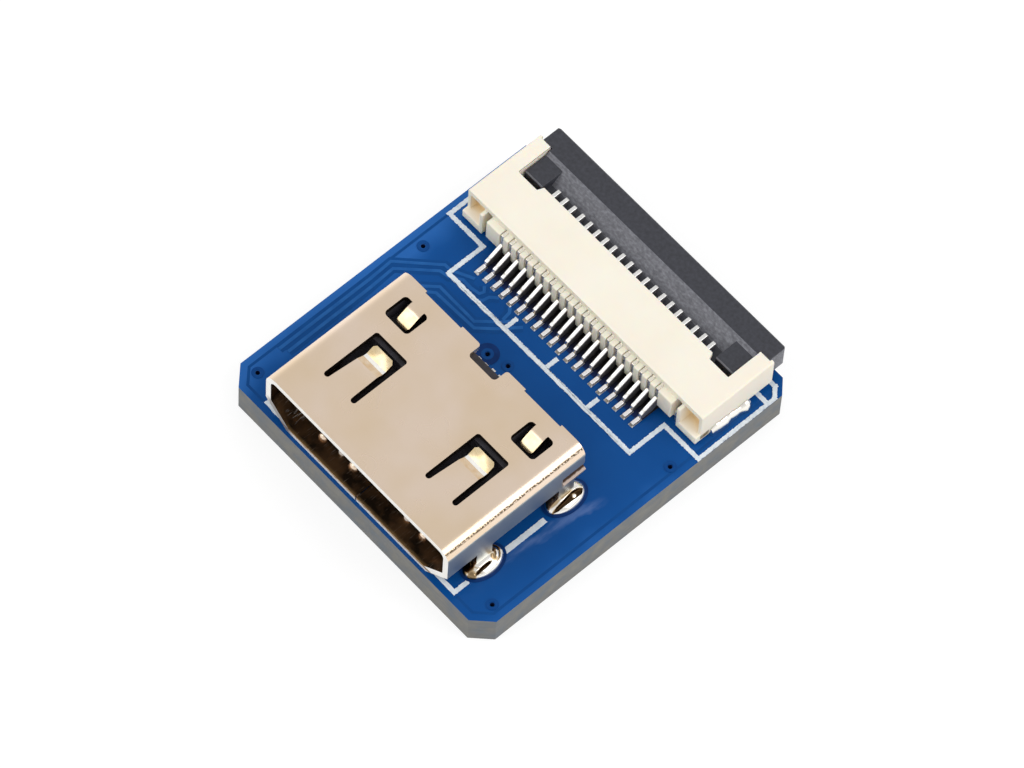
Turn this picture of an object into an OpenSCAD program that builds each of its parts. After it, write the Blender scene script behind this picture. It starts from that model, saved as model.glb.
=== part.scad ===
// Adapter board with a small video socket at the front and a slide-lock ribbon cable connector at the back.
// Sizes are in millimetres. The origin is the centre of the board's underside, +Y runs from the socket's
// mouth to the ribbon slot, +X is to the right as the mouth is faced, and +Z is up.

/* [Board] */
// Width of the board, across both connectors
board_w = 15.8; // [15.7:0.1:20]
// Length of the board, from the socket's edge to the ribbon's edge
board_l = 17.3; // [16.8:0.1:22]
// Thickness of the board
board_t = 1.6; // [0.8:0.1:2.4]
// Corner cut beside the socket's mouth
front_cut = 0.8; // [0.2:0.05:1]
// Corner cut beside the ribbon slot
rear_cut = 0.6; // [0.2:0.05:0.7]
// Bore of the holes that join the board's two faces
via_d = 0.2; // [0.16:0.02:0.4]
// Width of the printed lines
print_w = 0.2; // [0.12:0.02:0.25]

/* [Socket shell] */
// Width inside the mouth
mouth_w = 10.55; // [10.4:0.05:10.9]
// Height inside the mouth
mouth_h = 2.55; // [2.4:0.05:2.8]
// Width of the slant at each lower corner of the mouth
slant_w = 1.1; // [0.8:0.05:1.2]
// Height of the slant at each lower corner of the mouth
slant_h = 1; // [0.7:0.05:1.1]
// Thickness of the folded sheet
sheet = 0.3; // [0.2:0.05:0.35]
// Length of the shell, from the mouth to its rear edge
shell_l = 7.5; // [7.2:0.1:7.8]
// Distance from the board's front edge back to the mouth
mouth_back = 0.15; // [0:0.05:0.4]
// Outside radius of the shell's upper bends
bend_r = 0.6; // [0.4:0.05:0.7]
// Gap between the board and the shell's flat bottom
shell_lift = 0.05; // [0.04:0.01:0.08]
// Distance from the shell's middle to each spring finger's middle
finger_x = 3.1; // [2.9:0.05:3.3]
// Length of a spring finger, from root to tip
finger_l = 2.55; // [2.2:0.05:2.6]
// Width of a spring finger at its root
finger_w = 1.35; // [1:0.05:1.4]
// Width of the slot on each side of a spring finger
finger_slot = 0.28; // [0.16:0.02:0.3]
// Width of a solder leg
leg_w = 0.85; // [0.6:0.05:1]
// Distance from the mouth to the middle of a front leg
front_leg = 2.05; // [1.6:0.05:2.4]
// Distance from the mouth to the middle of a rear leg
rear_leg = 6.55; // [6.3:0.05:6.75]
// Height of the leg tips above the board's underside
leg_tip = 0.3; // [0.1:0.05:0.5]

/* [Socket inside] */
// Pitch of the socket's contacts
socket_pitch = 0.4; // [0.36:0.01:0.41]
// Thickness of the tongue that carries the contacts
tongue_t = 0.65; // [0.5:0.05:0.8]
// Distance from the mouth back to the tongue's end
tongue_back = 0.9; // [0.6:0.1:1.4]
// Distance from the mouth back to the block that fills the shell
block_back = 4.5; // [4.45:0.05:4.7]
// Width of a socket contact
socket_contact_w = 0.2; // [0.14:0.02:0.24]
// Thickness of a socket contact
socket_contact_t = 0.12; // [0.08:0.01:0.15]
// Length of a socket contact's foot on the board
socket_foot = 1; // [0.8:0.05:1.2]

/* [Ribbon connector] */
// Number of contacts in the ribbon connector
ribbon_pins = 20; // [14:1:20]
// Pitch of the ribbon contacts
ribbon_pitch = 0.5; // [0.45:0.01:0.5]
// Sideways place of the ribbon connector on the board
ribbon_x = 0.08; // [-0.1:0.02:0.14]
// Distance from the board's rear edge to the tips of the housing's arms
ribbon_back = 0.7; // [0.6:0.05:1]
// Height of the housing
housing_h = 2; // [1.95:0.05:2.3]
// Length of the housing from its top plate's front edge to its arm tips
housing_l = 3.95; // [3.8:0.05:4.1]
// Distance from the last contact to the end of the housing
housing_end = 2.42; // [2.3:0.02:2.46]
// Thickness of the housing's top plate
plate_t = 0.3; // [0.25:0.05:0.35]
// Thickness of the housing's floor
floor_t = 0.25; // [0.2:0.05:0.3]
// Width of each arm beside the slider
arm_w = 0.75; // [0.6:0.05:0.8]
// Length of each arm beyond the top plate
arm_l = 1.82; // [1.7:0.02:1.9]
// Length of the lip over the contact tips
lip_l = 0.3; // [0.2:0.05:0.4]
// Step from the top plate's front edge forward to the comb
comb_step = 0.33; // [0.2:0.05:0.4]

/* [Ribbon contacts] */
// Thickness of the sheet that the ribbon contacts are stamped from
blade_t = 0.18; // [0.12:0.02:0.2]
// Distance that a contact's foot ends in front of the top plate
foot_reach = 1.6; // [1.45:0.05:1.7]
// Length of a contact's foot
foot_l = 0.42; // [0.3:0.02:0.5]

/* [Slider] */
// Height of the slider's bar
bar_h = 1.25; // [1.1:0.05:1.3]
// Depth of the slider's bar, from the arm tips outward
bar_l = 0.93; // [0.7:0.01:1]
// Distance that the slider's bar stands short of the housing's top
bar_drop = 0.1; // [0.05:0.05:0.2]
// Thickness of the slider's tongue
wedge_t = 0.4; // [0.3:0.05:0.45]
// Length of the slider's tongue, inward from the arm tips
wedge_l = 2.75; // [2.4:0.05:2.9]

/* [Hidden] */
$fn = 24;
socket_pins = 19;

function numbered(i) = str(i < 10 ? "0" : "", i);
function arc(cx, cy, r, from, to, steps = 6) = [
    for (i = [0:steps]) let (a = from + (to - from) * i / steps) [cx + r * cos(a), cy + r * sin(a)]
];

cut_through = 1;            // overshoot of every cutter past the face that it leaves
seat = 0.02;                // clearance round a piece that is pressed into another
slide_gap = 0.05;           // clearance between the slider and what guides it
print_t = 0.02;             // thickness of the printed lines
paste_t = 0.03;             // thickness of the solder under a foot

// Socket shell, measured from the board's upper face
mouth_y = -board_l / 2 + mouth_back;
shell_y = mouth_y + shell_l;
shell_half = mouth_w / 2 + sheet;
shell_top = shell_lift + mouth_h + 2 * sheet;
slant = sqrt(slant_w * slant_w + slant_h * slant_h);
slant_out_w = slant_w + sheet * (slant_h + slant_w - slant) / slant_h;
slant_out_h = slant_h + sheet * (slant_h + slant_w - slant) / slant_w;
window_l = finger_l + 0.42;
finger_y = mouth_y + 1.73;
finger_tip_w = finger_w - 0.18;
finger_dip = 0.27;
tab_x = 3.78;
tab_y = shell_y - 0.78;
tab_l = 0.95;
tab_w = 0.72;
tab_window_x = tab_x + 0.06;
tab_window_w = 1.42;
tab_window_l = 1.24;
tab_window_r = 0.2;
notch_w = 1.6;
notch_l = 0.73;
notch_r = 0.18;
notch_lip_r = 0.15;
step_l = 0.1;
step_from = 1.93;
step_to = 4.12;
slit_low = 1.65;
slit_high = 2;
slit_l = 1.2;
slit_lip = 0.1;
seam_w = 0.06;
leg_x = shell_half - sheet / 2;
leg_hole_w = 0.7;
leg_hole_l = leg_w + 0.45;

// Socket inside
block_y = mouth_y + block_back;
block_rear = shell_y - 0.3;
tongue_w = (socket_pins - 1) * socket_pitch + 1.3;
tongue_z = shell_lift + sheet + mouth_h * 0.42;
socket_contact_z = tongue_z - 0.03;
socket_riser_y = block_rear + seat;
socket_foot_end = socket_riser_y + socket_foot;
socket_toe = 0.16;
socket_contact_in = 0.4;
open_bottom_y = block_rear - 0.75;

// Ribbon connector, measured from the board's upper face
pins_half = (ribbon_pins - 1) / 2 * ribbon_pitch;
housing_half = pins_half + housing_end;
arm_in = housing_half - arm_w;
arm_y = board_l / 2 - ribbon_back;
plate_y = arm_y - housing_l;
plate_rear = arm_y - arm_l;
plate_z = housing_h - plate_t;
comb_y = plate_y - comb_step;
comb_half = pins_half + 0.92;
comb_top = plate_z - 0.1;
comb_rear = plate_y + 0.7;
lip_half = pins_half + 0.53;
comb_z = 0.4;
floor_z = 0.1;
end_z = 0.35;
floor_top = floor_z + floor_t;
pocket_wall = 0.18;
pocket_out = housing_half - pocket_wall;
pocket_in = comb_half + 0.3 + pocket_wall;
pocket_y = comb_y + 0.05;
pocket_low = 0.12;
pocket_top = 0.58;
pocket_rear = plate_y + 0.6;
ear_l = 0.1;
slot_w = blade_t + 2 * seat;

// Ribbon contacts
beam_t = 0.35;
spring_t = 0.13;
beam_end = plate_rear + lip_l + 0.57;
contact_drop = 0.04;
spring_end = arm_y - 0.9;
blade_z = 0.8;
foot_t = 0.12;
foot_y = plate_y - foot_reach;

// Slider
bar_top = housing_h - bar_drop;
bar_y = arm_y + slide_gap;
bar_half = housing_half - 0.22;
ear_in = bar_half + slide_gap;
bevel_y = arm_y - 0.13;
bevel_foot = beam_end + slide_gap;
wedge_top = plate_z - seat - beam_t - slide_gap;
wedge_half = lip_half + 0.08;
lug_in = wedge_half - 0.04;
lug_out = arm_in - slide_gap;
lug_top = housing_h - 0.25;
lug_y = plate_rear + 0.33;
travel = 1.2;

// Fitting nails
nail_t = 0.17;
nail_x = comb_half + 0.06;
nail_out = housing_half + 0.13;
nail_y = plate_y - 0.1;
nail_foot_y = pocket_rear + 0.03;
nail_l = 2.7;
nail_rear = nail_y + nail_l;
nail_h = 0.9;
nail_back = 0.7;

// Places of the holes between the faces, from the board's centre
via_places = [[-7.1, -7.6], [7.2, -7.45], [-7.1, 1.55], [7.3, 2.3], [-1.53, 0.15], [-0.56, 0.41]];

module along_x(x, w) {
    translate([x, 0, 0]) rotate([90, 0, 90]) linear_extrude(w) children();
}

module along_y(y, l) {
    translate([0, y + l, 0]) rotate([90, 0, 0]) linear_extrude(l) children();
}

// A block from its lowest to its highest corner
module block(low, high) {
    translate(low) cube(high - low);
}

module both_sides() {
    children();
    mirror([1, 0, 0]) children();
}

// A slot's outline, w wide along X and l long along Y, with round ends
module slot_outline(w, l) {
    square([w, l - w], center = true);
    for (s = [-1, 1]) translate([0, s * (l - w) / 2]) circle(d = w);
}

// A rectangle with round corners, from low to high
module round_window(low, high, r) {
    for (x = [low[0] + r, high[0] - r], y = [low[1] + r, high[1] - r]) translate([x, y]) circle(r = r);
    translate([low[0] + r, low[1]]) square([high[0] - low[0] - 2 * r, high[1] - low[1]]);
    translate([low[0], low[1] + r]) square([high[0] - low[0], high[1] - low[1] - 2 * r]);
}

module board_outline() {
    w = board_w / 2;
    l = board_l / 2;
    polygon([
        [-w, -l + front_cut], [-w + front_cut, -l], [w - front_cut, -l], [w, -l + front_cut],
        [w, l - rear_cut], [w - rear_cut, l], [-w + rear_cut, l], [-w, l - rear_cut]
    ]);
}

// The place of each shell leg: its side, and its distance from the mouth
module at_leg(side, from_mouth) {
    translate([side * leg_x, mouth_y + from_mouth, 0]) children();
}

module board() {
    color([0.11, 0.31, 0.6])
    difference() {
        linear_extrude(board_t) board_outline();
        for (p = via_places)
            translate([p[0], p[1], -cut_through]) cylinder(h = board_t + 2 * cut_through, d = via_d);
        for (side = [-1, 1], leg = [front_leg, rear_leg])
            at_leg(side, leg) translate([0, 0, -cut_through])
                linear_extrude(board_t + 2 * cut_through) slot_outline(leg_hole_w, leg_hole_l);
    }
}

// One printed line between two points, with square ends that overrun by half its width
module printed_line(a, b) {
    d = b - a;
    translate(a) rotate(atan2(d[1], d[0]))
        translate([-print_w / 2, -print_w / 2]) square([norm(d) + print_w, print_w]);
}

module printed_path(points) {
    for (i = [0:len(points) - 2]) printed_line(points[i], points[i + 1]);
}

// The printed outlines, kept inside the board's edge
module silkscreen() {
    edge = 0.02;
    socket_half = shell_half + 0.2;
    socket_line_y = mouth_y + 0.26;
    middle = ribbon_x + 0.06;
    dash_from = mouth_y + front_leg + 1.1;
    dash_to = mouth_y + rear_leg - 1.38;
    inner = pins_half + 0.83;
    outer = board_w / 2 - 0.23;
    front = max(foot_y - 0.92, socket_foot_end + socket_toe + 0.3);
    tick_l = min(0.65, foot_y - 0.3 - front);
    shoulder = comb_y - 0.25;
    rear = arm_y + 0.17;
    rear_gap = 0.79;
    bar = 0.75;
    cut = 0.42;
    color([0.9, 0.92, 0.94])
    translate([0, 0, board_t]) linear_extrude(print_t) intersection() {
        scale([1 - edge / board_w, 1 - edge / board_l]) board_outline();
        union() {
            printed_line([-socket_half, socket_line_y], [socket_half, socket_line_y]);
            both_sides() {
                printed_line([socket_half, socket_line_y], [socket_half, socket_line_y + 0.65]);
                printed_line([socket_half, dash_from], [socket_half, dash_to]);
            }
            translate([middle, 0]) {
                both_sides() printed_path([
                    [0, front], [inner, front], [inner, shoulder],
                    [outer, shoulder], [outer, rear - cut], [outer - cut, rear], [outer - bar, rear]
                ]);
                both_sides() printed_line([outer, rear - rear_gap], [outer - bar, rear - rear_gap]);
                for (k = [-1:1])
                    translate([0.39 + 5 * k * ribbon_pitch, front]) printed_line([0, 0], [0, tick_l]);
            }
        }
    }
}

// The shell's section, d inside its outer face, with the arcs of its upper bends
function shell_section(d) =
    let (
        x = shell_half - d,
        low = shell_lift + d,
        top = shell_top - d,
        r = max(bend_r - d, 0.05),
        reach = d * (slant_h + slant_w - slant),
        w = slant_out_w - reach / slant_h,
        h = slant_out_h - reach / slant_w
    )
    concat(
        [[-x + w, low], [x - w, low], [x, low + h]],
        arc(x - r, top - r, r, 0, 90),
        arc(-x + r, top - r, r, 90, 180),
        [[-x, low + h]]
    );

// A spring finger: sheet that slopes from its root, dips to a bump and lifts again at its tip
module finger() {
    bump = finger_l - 0.55;
    bend = bump - 0.42;
    bend_dip = finger_dip * 0.45;
    lift = 0.24;
    root_r = finger_slot / 2;
    corner = 0.12;
    deep = finger_dip + 2 * sheet;
    edge = concat(
        [[finger_w / 2 + root_r, -0.1]],
        arc(finger_w / 2 + root_r, root_r, root_r, 270, 180, 4),
        [[finger_tip_w / 2, bump], [finger_tip_w / 2, finger_l - corner]],
        [[finger_tip_w / 2 - corner, finger_l]]
    );
    intersection() {
        along_x(-finger_w, 2 * finger_w) translate([finger_y, shell_top]) polygon([
            [-0.1, 0], [0.25, 0], [bend, -bend_dip], [bump - 0.1, -finger_dip + 0.01],
            [bump + 0.08, -finger_dip], [finger_l, -finger_dip + lift],
            [finger_l - 0.06, -finger_dip + lift - sheet], [bump + 0.08, -finger_dip - sheet],
            [bump - 0.14, -finger_dip - sheet + 0.02], [bend - 0.04, -bend_dip - sheet],
            [0.2, -sheet], [-0.1, -sheet]
        ]);
        translate([0, finger_y, shell_top - deep]) linear_extrude(2 * deep)
            polygon(concat(edge, [for (i = [len(edge) - 1:-1:0]) [-edge[i][0], edge[i][1]]]));
    }
}

// A locking tab: bent down and forward from the rear edge of its window, with a rounded end
module locking_tab() {
    drop = 0.45;
    deep = drop + 2 * sheet;
    corner = tab_w * 0.25;
    intersection() {
        along_x(-tab_w / 2, tab_w) translate([tab_y, shell_top]) polygon([
            [0.1, 0], [-0.12, 0], [-0.34, -0.1], [-tab_l, -drop], [-tab_l + 0.16, -drop - sheet * 0.7],
            [-0.22, -0.1 - sheet * 0.95], [-0.06, -sheet], [0.1, -sheet]
        ]);
        translate([0, tab_y, shell_top - deep]) linear_extrude(2 * deep)
            round_window([-tab_w / 2, -tab_l], [tab_w / 2, 2 * corner], corner);
    }
}

// The notch in the top's rear edge, round inside and round where it meets the edge
module rear_notch() {
    half = notch_w / 2;
    round_window([-half, -notch_l], [half, 2 * notch_r], notch_r);
    both_sides() difference() {
        translate([half - notch_lip_r, -notch_lip_r]) square([2 * notch_lip_r, 2 * notch_lip_r]);
        translate([half + notch_lip_r, -notch_lip_r]) circle(r = notch_lip_r);
    }
}

module shell_cuts() {
    full = board_l;
    window_half = finger_w / 2 + finger_slot;
    both_sides() {
        translate([finger_x, finger_y, shell_top - 2 * sheet]) linear_extrude(4 * sheet)
            round_window([-window_half, 0], [window_half, window_l], finger_slot / 2);
        translate([tab_window_x, tab_y, shell_top - 2 * sheet]) linear_extrude(4 * sheet)
            round_window([-tab_window_w / 2, -tab_window_l], [tab_window_w / 2, 0], tab_window_r);
        block([shell_half - 2 * sheet, shell_y - slit_l, slit_low], [shell_half + sheet, full, slit_high]);
        block([step_from, shell_y - step_l, shell_top - 2 * sheet], [step_to, full, shell_top + sheet]);
        for (leg = [front_leg, rear_leg])
            block(
                [shell_half - slant_out_w - sheet, mouth_y + leg - leg_w / 2 - 0.14, 0],
                [shell_half + sheet, mouth_y + leg + leg_w / 2 + 0.14, shell_lift + slant_out_h]
            );
    }
    translate([0, shell_y, shell_top - 2 * sheet]) linear_extrude(4 * sheet) rear_notch();
    block([-tongue_w / 2, open_bottom_y, 0], [tongue_w / 2, full, shell_lift + 1.5 * sheet]);
    block([-seam_w / 2, mouth_y - cut_through, 0], [seam_w / 2, full, shell_lift + 1.5 * sheet]);
}

module socket_shell() {
    color([0.84, 0.75, 0.64])
    translate([0, 0, board_t]) {
        difference() {
            along_y(mouth_y, shell_l) difference() {
                polygon(shell_section(0));
                polygon(shell_section(sheet));
            }
            shell_cuts();
        }
        both_sides() {
            translate([finger_x, 0, 0]) finger();
            translate([tab_x, 0, 0]) locking_tab();
            along_y(shell_y - slit_l, slit_l) polygon([
                [shell_half - sheet, slit_low - slit_lip], [shell_half - sheet, slit_low],
                [shell_half - slit_lip, slit_low + slit_lip],
                [shell_half + slit_lip, slit_low - 0.4 * slit_lip], [shell_half, slit_low - 3 * slit_lip]
            ]);
            for (leg = [front_leg, rear_leg])
                block(
                    [shell_half - sheet, mouth_y + leg - leg_w / 2, leg_tip - board_t],
                    [shell_half, mouth_y + leg + leg_w / 2, shell_lift + slant_out_h + 0.2]
                );
        }
    }
}

module at_socket_pins() {
    for (i = [1:socket_pins]) translate([(i - (socket_pins + 1) / 2) * socket_pitch, 0, 0]) children();
}

module socket_insulator() {
    groove = socket_contact_w / 2 + seat;
    tongue_y = mouth_y + tongue_back;
    color([0.1, 0.1, 0.11])
    translate([0, 0, board_t]) difference() {
        union() {
            along_y(block_y, block_rear - block_y) polygon(shell_section(sheet + seat));
            along_x(-tongue_w / 2, tongue_w) polygon([
                [tongue_y, tongue_z + 0.12], [tongue_y + 0.12, tongue_z], [block_y + 0.1, tongue_z],
                [block_y + 0.1, tongue_z + tongue_t], [tongue_y + 0.12, tongue_z + tongue_t],
                [tongue_y, tongue_z + tongue_t - 0.12]
            ]);
            both_sides() block(
                [tongue_w / 2 - 0.1, block_y - 1.4, tongue_z],
                [tongue_w / 2 + 0.25, block_y + 0.1, tongue_z + tongue_t]
            );
        }
        at_socket_pins() block(
            [-groove, tongue_y + 0.35, socket_contact_z - seat],
            [groove, block_rear + cut_through, tongue_z + socket_contact_t - 0.03 + seat]
        );
        both_sides() block(
            [tab_window_x - tab_window_w / 2, tab_y - tab_window_l, shell_top - sheet - 0.75],
            [tab_window_x + tab_window_w / 2, tab_y + 0.15, shell_top]
        );
    }
}

// One socket contact: a beam under the tongue, a riser behind the block and a foot on the board
module socket_contact(i) {
    beam_y = mouth_y + tongue_back + socket_contact_in;
    t = socket_contact_t;
    color([0.9, 0.74, 0.36])
    translate([(i - (socket_pins + 1) / 2) * socket_pitch, 0, board_t])
        along_x(-socket_contact_w / 2, socket_contact_w) polygon([
            [beam_y, socket_contact_z], [socket_riser_y, socket_contact_z], [socket_riser_y, paste_t],
            [socket_foot_end, paste_t], [socket_foot_end, paste_t + t], [socket_riser_y + t, paste_t + t],
            [socket_riser_y + t, socket_contact_z + t], [beam_y, socket_contact_z + t]
        ]);
}

module socket_contact_solder() {
    end = socket_foot_end;
    color([0.72, 0.72, 0.72])
    translate([0, 0, board_t]) at_socket_pins()
        along_x(-socket_contact_w / 2, socket_contact_w) polygon([
            [socket_riser_y, 0], [end + socket_toe, 0], [end + 0.05, 0.04],
            [end, paste_t + socket_contact_t * 0.7], [end, paste_t], [socket_riser_y, paste_t]
        ]);
}

// Solder round one leg: a hollow-sided mound that leans outward, and the filling of the leg's hole
module leg_solder(side, from_mouth) {
    base_r = 2 * sheet + 0.02;
    neck_r = 0.15;
    rise = 0.55;
    lean = 0.1;
    hollow_end = 206;
    underside = 0.06;
    mound = concat(
        [[0, 0], [base_r, 0]],
        arc(base_r, rise, rise, 270, hollow_end, 5),
        [[neck_r, rise * 0.8], [0, rise * 0.86]]
    );
    straight = leg_w - 0.1;
    color([0.8, 0.78, 0.7])
    difference() {
        at_leg(side, from_mouth) {
            translate([side * lean, 0, board_t]) {
                for (s = [-1, 1]) translate([0, s * straight / 2, 0]) rotate_extrude() polygon(mound);
                along_y(-straight / 2, straight) {
                    polygon(mound);
                    mirror([1, 0]) polygon(mound);
                }
            }
            translate([0, 0, underside])
                linear_extrude(board_t - underside) slot_outline(leg_hole_w, leg_hole_l);
        }
        at_leg(side, from_mouth)
            block([-sheet / 2, -leg_w / 2, leg_tip], [sheet / 2, leg_w / 2, board_t + 2 * rise]);
    }
}

// The solid end of the housing on the right: the arm with its ear beside the slider, the wall inside
// the pocket, and the pocket's floor
module housing_end_right() {
    edge = 0.06;
    wall_in = pocket_in - pocket_wall;
    difference() {
        along_y(plate_y, arm_y + ear_l - plate_y) polygon([
            [arm_in, end_z], [housing_half, end_z], [housing_half, housing_h - edge],
            [housing_half - edge, housing_h], [arm_in, housing_h]
        ]);
        block(
            [arm_in - cut_through, arm_y, -cut_through],
            [ear_in, arm_y + cut_through, housing_h + cut_through]
        );
    }
    block([wall_in, pocket_y, pocket_low], [pocket_in, pocket_rear, comb_top]);
    block([wall_in, plate_y, pocket_low], [pocket_in, pocket_rear, plate_z]);
    block([wall_in, pocket_y, pocket_low], [housing_half, pocket_rear, pocket_top]);
    block([wall_in, pocket_rear - pocket_wall, pocket_low], [housing_half, pocket_rear, plate_z]);
}

module ribbon_housing() {
    color([0.96, 0.93, 0.86])
    translate([ribbon_x, 0, board_t]) difference() {
        union() {
            block([-housing_half + 0.12, plate_y, plate_z], [housing_half - 0.12, plate_rear, housing_h]);
            translate([0, 0, plate_z]) linear_extrude(plate_t) polygon([
                [-lip_half, plate_rear - 0.1], [lip_half, plate_rear - 0.1], [lip_half, plate_rear],
                [lip_half - 0.12, plate_rear + lip_l], [-lip_half + 0.12, plate_rear + lip_l],
                [-lip_half, plate_rear]
            ]);
            block([-comb_half, comb_y, comb_z], [comb_half, plate_y + 0.1, comb_top]);
            block([-comb_half, plate_y, floor_z], [comb_half, comb_rear, plate_z]);
            block([-comb_half, comb_rear - 0.1, floor_z], [comb_half, arm_y - 0.3, floor_top]);
            block([-arm_in - 0.1, nail_rear + 0.15, floor_z], [arm_in + 0.1, arm_y - 0.3, end_z + 0.05]);
            both_sides() housing_end_right();
        }
        both_sides() block(
            [pocket_in, comb_y - cut_through, pocket_top],
            [pocket_out, pocket_rear - pocket_wall, plate_z]
        );
        for (i = [1:ribbon_pins])
            translate([(i - (ribbon_pins + 1) / 2) * ribbon_pitch, 0, 0]) {
                block(
                    [-slot_w / 2, comb_y - cut_through, -cut_through],
                    [slot_w / 2, comb_rear + 0.1, plate_z]
                );
                block([-slot_w / 2, comb_rear, floor_top - 0.12], [slot_w / 2, spring_end + 0.1, plate_z]);
            }
    }
}

// One stamped ribbon contact: foot, sloping blade, back, rigid upper beam and sprung lower beam
module ribbon_contact(i) {
    back_y = plate_y + 0.05;
    back_rear = comb_rear - seat;
    beam_z = plate_z - seat;
    spring_z = floor_top - 0.1;
    heel_y = foot_y + foot_l;
    color([0.78, 0.78, 0.79])
    translate([ribbon_x + (i - (ribbon_pins + 1) / 2) * ribbon_pitch, 0, board_t])
        along_x(-blade_t / 2, blade_t) polygon([
            [foot_y, paste_t], [comb_y - 0.25, paste_t], [comb_y - 0.05, paste_t + 0.12],
            [comb_y + 0.12, floor_z + 0.1], [back_rear, floor_z + 0.1],
            [back_rear, spring_z], [back_rear + 0.6, spring_z], [spring_end - 0.45, spring_z + 0.06],
            [spring_end, spring_z + 0.02], [spring_end, spring_z + 0.1],
            [spring_end - 0.3, spring_z + spring_t + 0.13], [spring_end - 0.55, spring_z + spring_t + 0.06],
            [back_rear + 0.6, spring_z + spring_t], [back_rear + 0.2, spring_z + spring_t],
            [back_rear, spring_z + spring_t + 0.2], [back_rear, beam_z - beam_t - 0.25],
            [back_rear + 0.25, beam_z - beam_t], [beam_end - 0.3, beam_z - beam_t],
            [beam_end, beam_z - beam_t + 0.1], [beam_end, beam_z - 0.06], [beam_end - 0.06, beam_z],
            [back_y, beam_z], [back_y, comb_top - contact_drop], [comb_y + 0.06, comb_top - contact_drop],
            [comb_y + 0.06, blade_z + 0.06], [comb_y - 0.05, blade_z], [heel_y + 0.2, 0.46],
            [heel_y + 0.04, 0.38], [heel_y, paste_t + foot_t], [foot_y, paste_t + foot_t]
        ]);
}

module ribbon_contact_solder() {
    toe = foot_y - 0.08;
    heel = foot_y + foot_l + 0.08;
    spread = 0.03;
    color([0.72, 0.72, 0.72])
    translate([ribbon_x, 0, board_t])
        for (i = [1:ribbon_pins])
            translate([(i - (ribbon_pins + 1) / 2) * ribbon_pitch, 0, 0]) {
                along_x(-blade_t / 2, blade_t) polygon([
                    [toe, 0], [heel, 0], [heel, paste_t], [foot_y, paste_t],
                    [foot_y, paste_t + foot_t * 0.7], [foot_y - 0.06, 0.05]
                ]);
                block([-blade_t / 2 - spread, toe, 0], [blade_t / 2 + spread, heel, paste_t]);
            }
}

// The slider in its pushed-in place: bar, bevel, tongue over the ribbon and a lug at each end
module ribbon_slider() {
    bar_low = bar_top - bar_h;
    bar_rear = bar_y + bar_l;
    edge = 0.06;
    corner = 0.1;
    color([0.2, 0.2, 0.22])
    translate([ribbon_x, 0, board_t]) {
        intersection() {
            along_x(-bar_half, 2 * bar_half) polygon([
                [bar_y, bar_low], [bar_rear - edge, bar_low], [bar_rear, bar_low + edge],
                [bar_rear, bar_top - edge], [bar_rear - edge, bar_top], [bar_y, bar_top]
            ]);
            linear_extrude(housing_h) polygon([
                [-bar_half, bar_y], [bar_half, bar_y],
                [bar_half, bar_rear - corner], [bar_half - corner, bar_rear],
                [-bar_half + corner, bar_rear], [-bar_half, bar_rear - corner]
            ]);
        }
        along_x(-lug_out, 2 * lug_out) polygon([
            [bar_y + 0.1, bar_top], [bevel_y, bar_top], [bevel_foot, wedge_top],
            [bevel_foot, wedge_top - wedge_t], [bevel_y, wedge_top - wedge_t], [bar_y + 0.1, bar_low]
        ]);
        along_x(-wedge_half, 2 * wedge_half) polygon([
            [bevel_foot + 0.1, wedge_top], [arm_y - wedge_l + 0.3, wedge_top],
            [arm_y - wedge_l, wedge_top - wedge_t * 0.7], [arm_y - wedge_l, wedge_top - wedge_t],
            [bevel_foot + 0.1, wedge_top - wedge_t]
        ]);
        both_sides() along_x(lug_in, lug_out - lug_in) polygon([
            [lug_y, bar_low], [bar_y + 0.1, bar_low], [bar_y + 0.1, lug_top],
            [lug_y + edge, lug_top], [lug_y, lug_top - edge]
        ]);
    }
}

// The metal fitting on the right: an upright tab beside the comb, and a foot out under the housing's arm
module fitting_nail(side) {
    color([0.8, 0.79, 0.76])
    translate([ribbon_x, 0, board_t]) mirror([side < 0 ? 1 : 0, 0, 0]) {
        block([nail_x, nail_y, paste_t], [nail_x + nail_t, nail_y + nail_back, nail_h]);
        block([nail_x, nail_y, paste_t], [nail_x + nail_t, nail_rear, paste_t + nail_t]);
        block([nail_x, nail_foot_y, paste_t], [nail_out, nail_rear, paste_t + nail_t]);
    }
}

// The solder along the outer edge of a fitting's foot
module nail_solder(side) {
    foot_top = paste_t + nail_t;
    from = housing_half + seat;
    spread = nail_t * 0.6;
    color([0.8, 0.8, 0.8])
    translate([ribbon_x, 0, board_t]) mirror([side < 0 ? 1 : 0, 0, 0])
        along_y(nail_foot_y, nail_rear + spread - nail_foot_y) polygon([
            [from, foot_top], [nail_out, foot_top], [nail_out, 0], [nail_out + spread, 0],
            [nail_out + spread * 0.6, nail_t / 2], [nail_out - spread * 0.3, foot_top + spread * 0.8],
            [from, foot_top + spread]
        ]);
}

board();
silkscreen();
socket_shell();
socket_insulator();
for (i = [1:socket_pins]) socket_contact(i);
socket_contact_solder();
leg_solder(-1, front_leg);  // leg_solder_front_left
leg_solder(1, front_leg);  // leg_solder_front_right
leg_solder(-1, rear_leg);  // leg_solder_rear_left
leg_solder(1, rear_leg);  // leg_solder_rear_right
ribbon_housing();
ribbon_slider();
for (i = [1:ribbon_pins]) ribbon_contact(i);
ribbon_contact_solder();
fitting_nail(-1);  // fitting_nail_left
fitting_nail(1);  // fitting_nail_right
nail_solder(-1);  // nail_solder_left
nail_solder(1);  // nail_solder_right
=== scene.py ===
import math

import bmesh
import bpy
from mathutils import Matrix, Vector, noise


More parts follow.
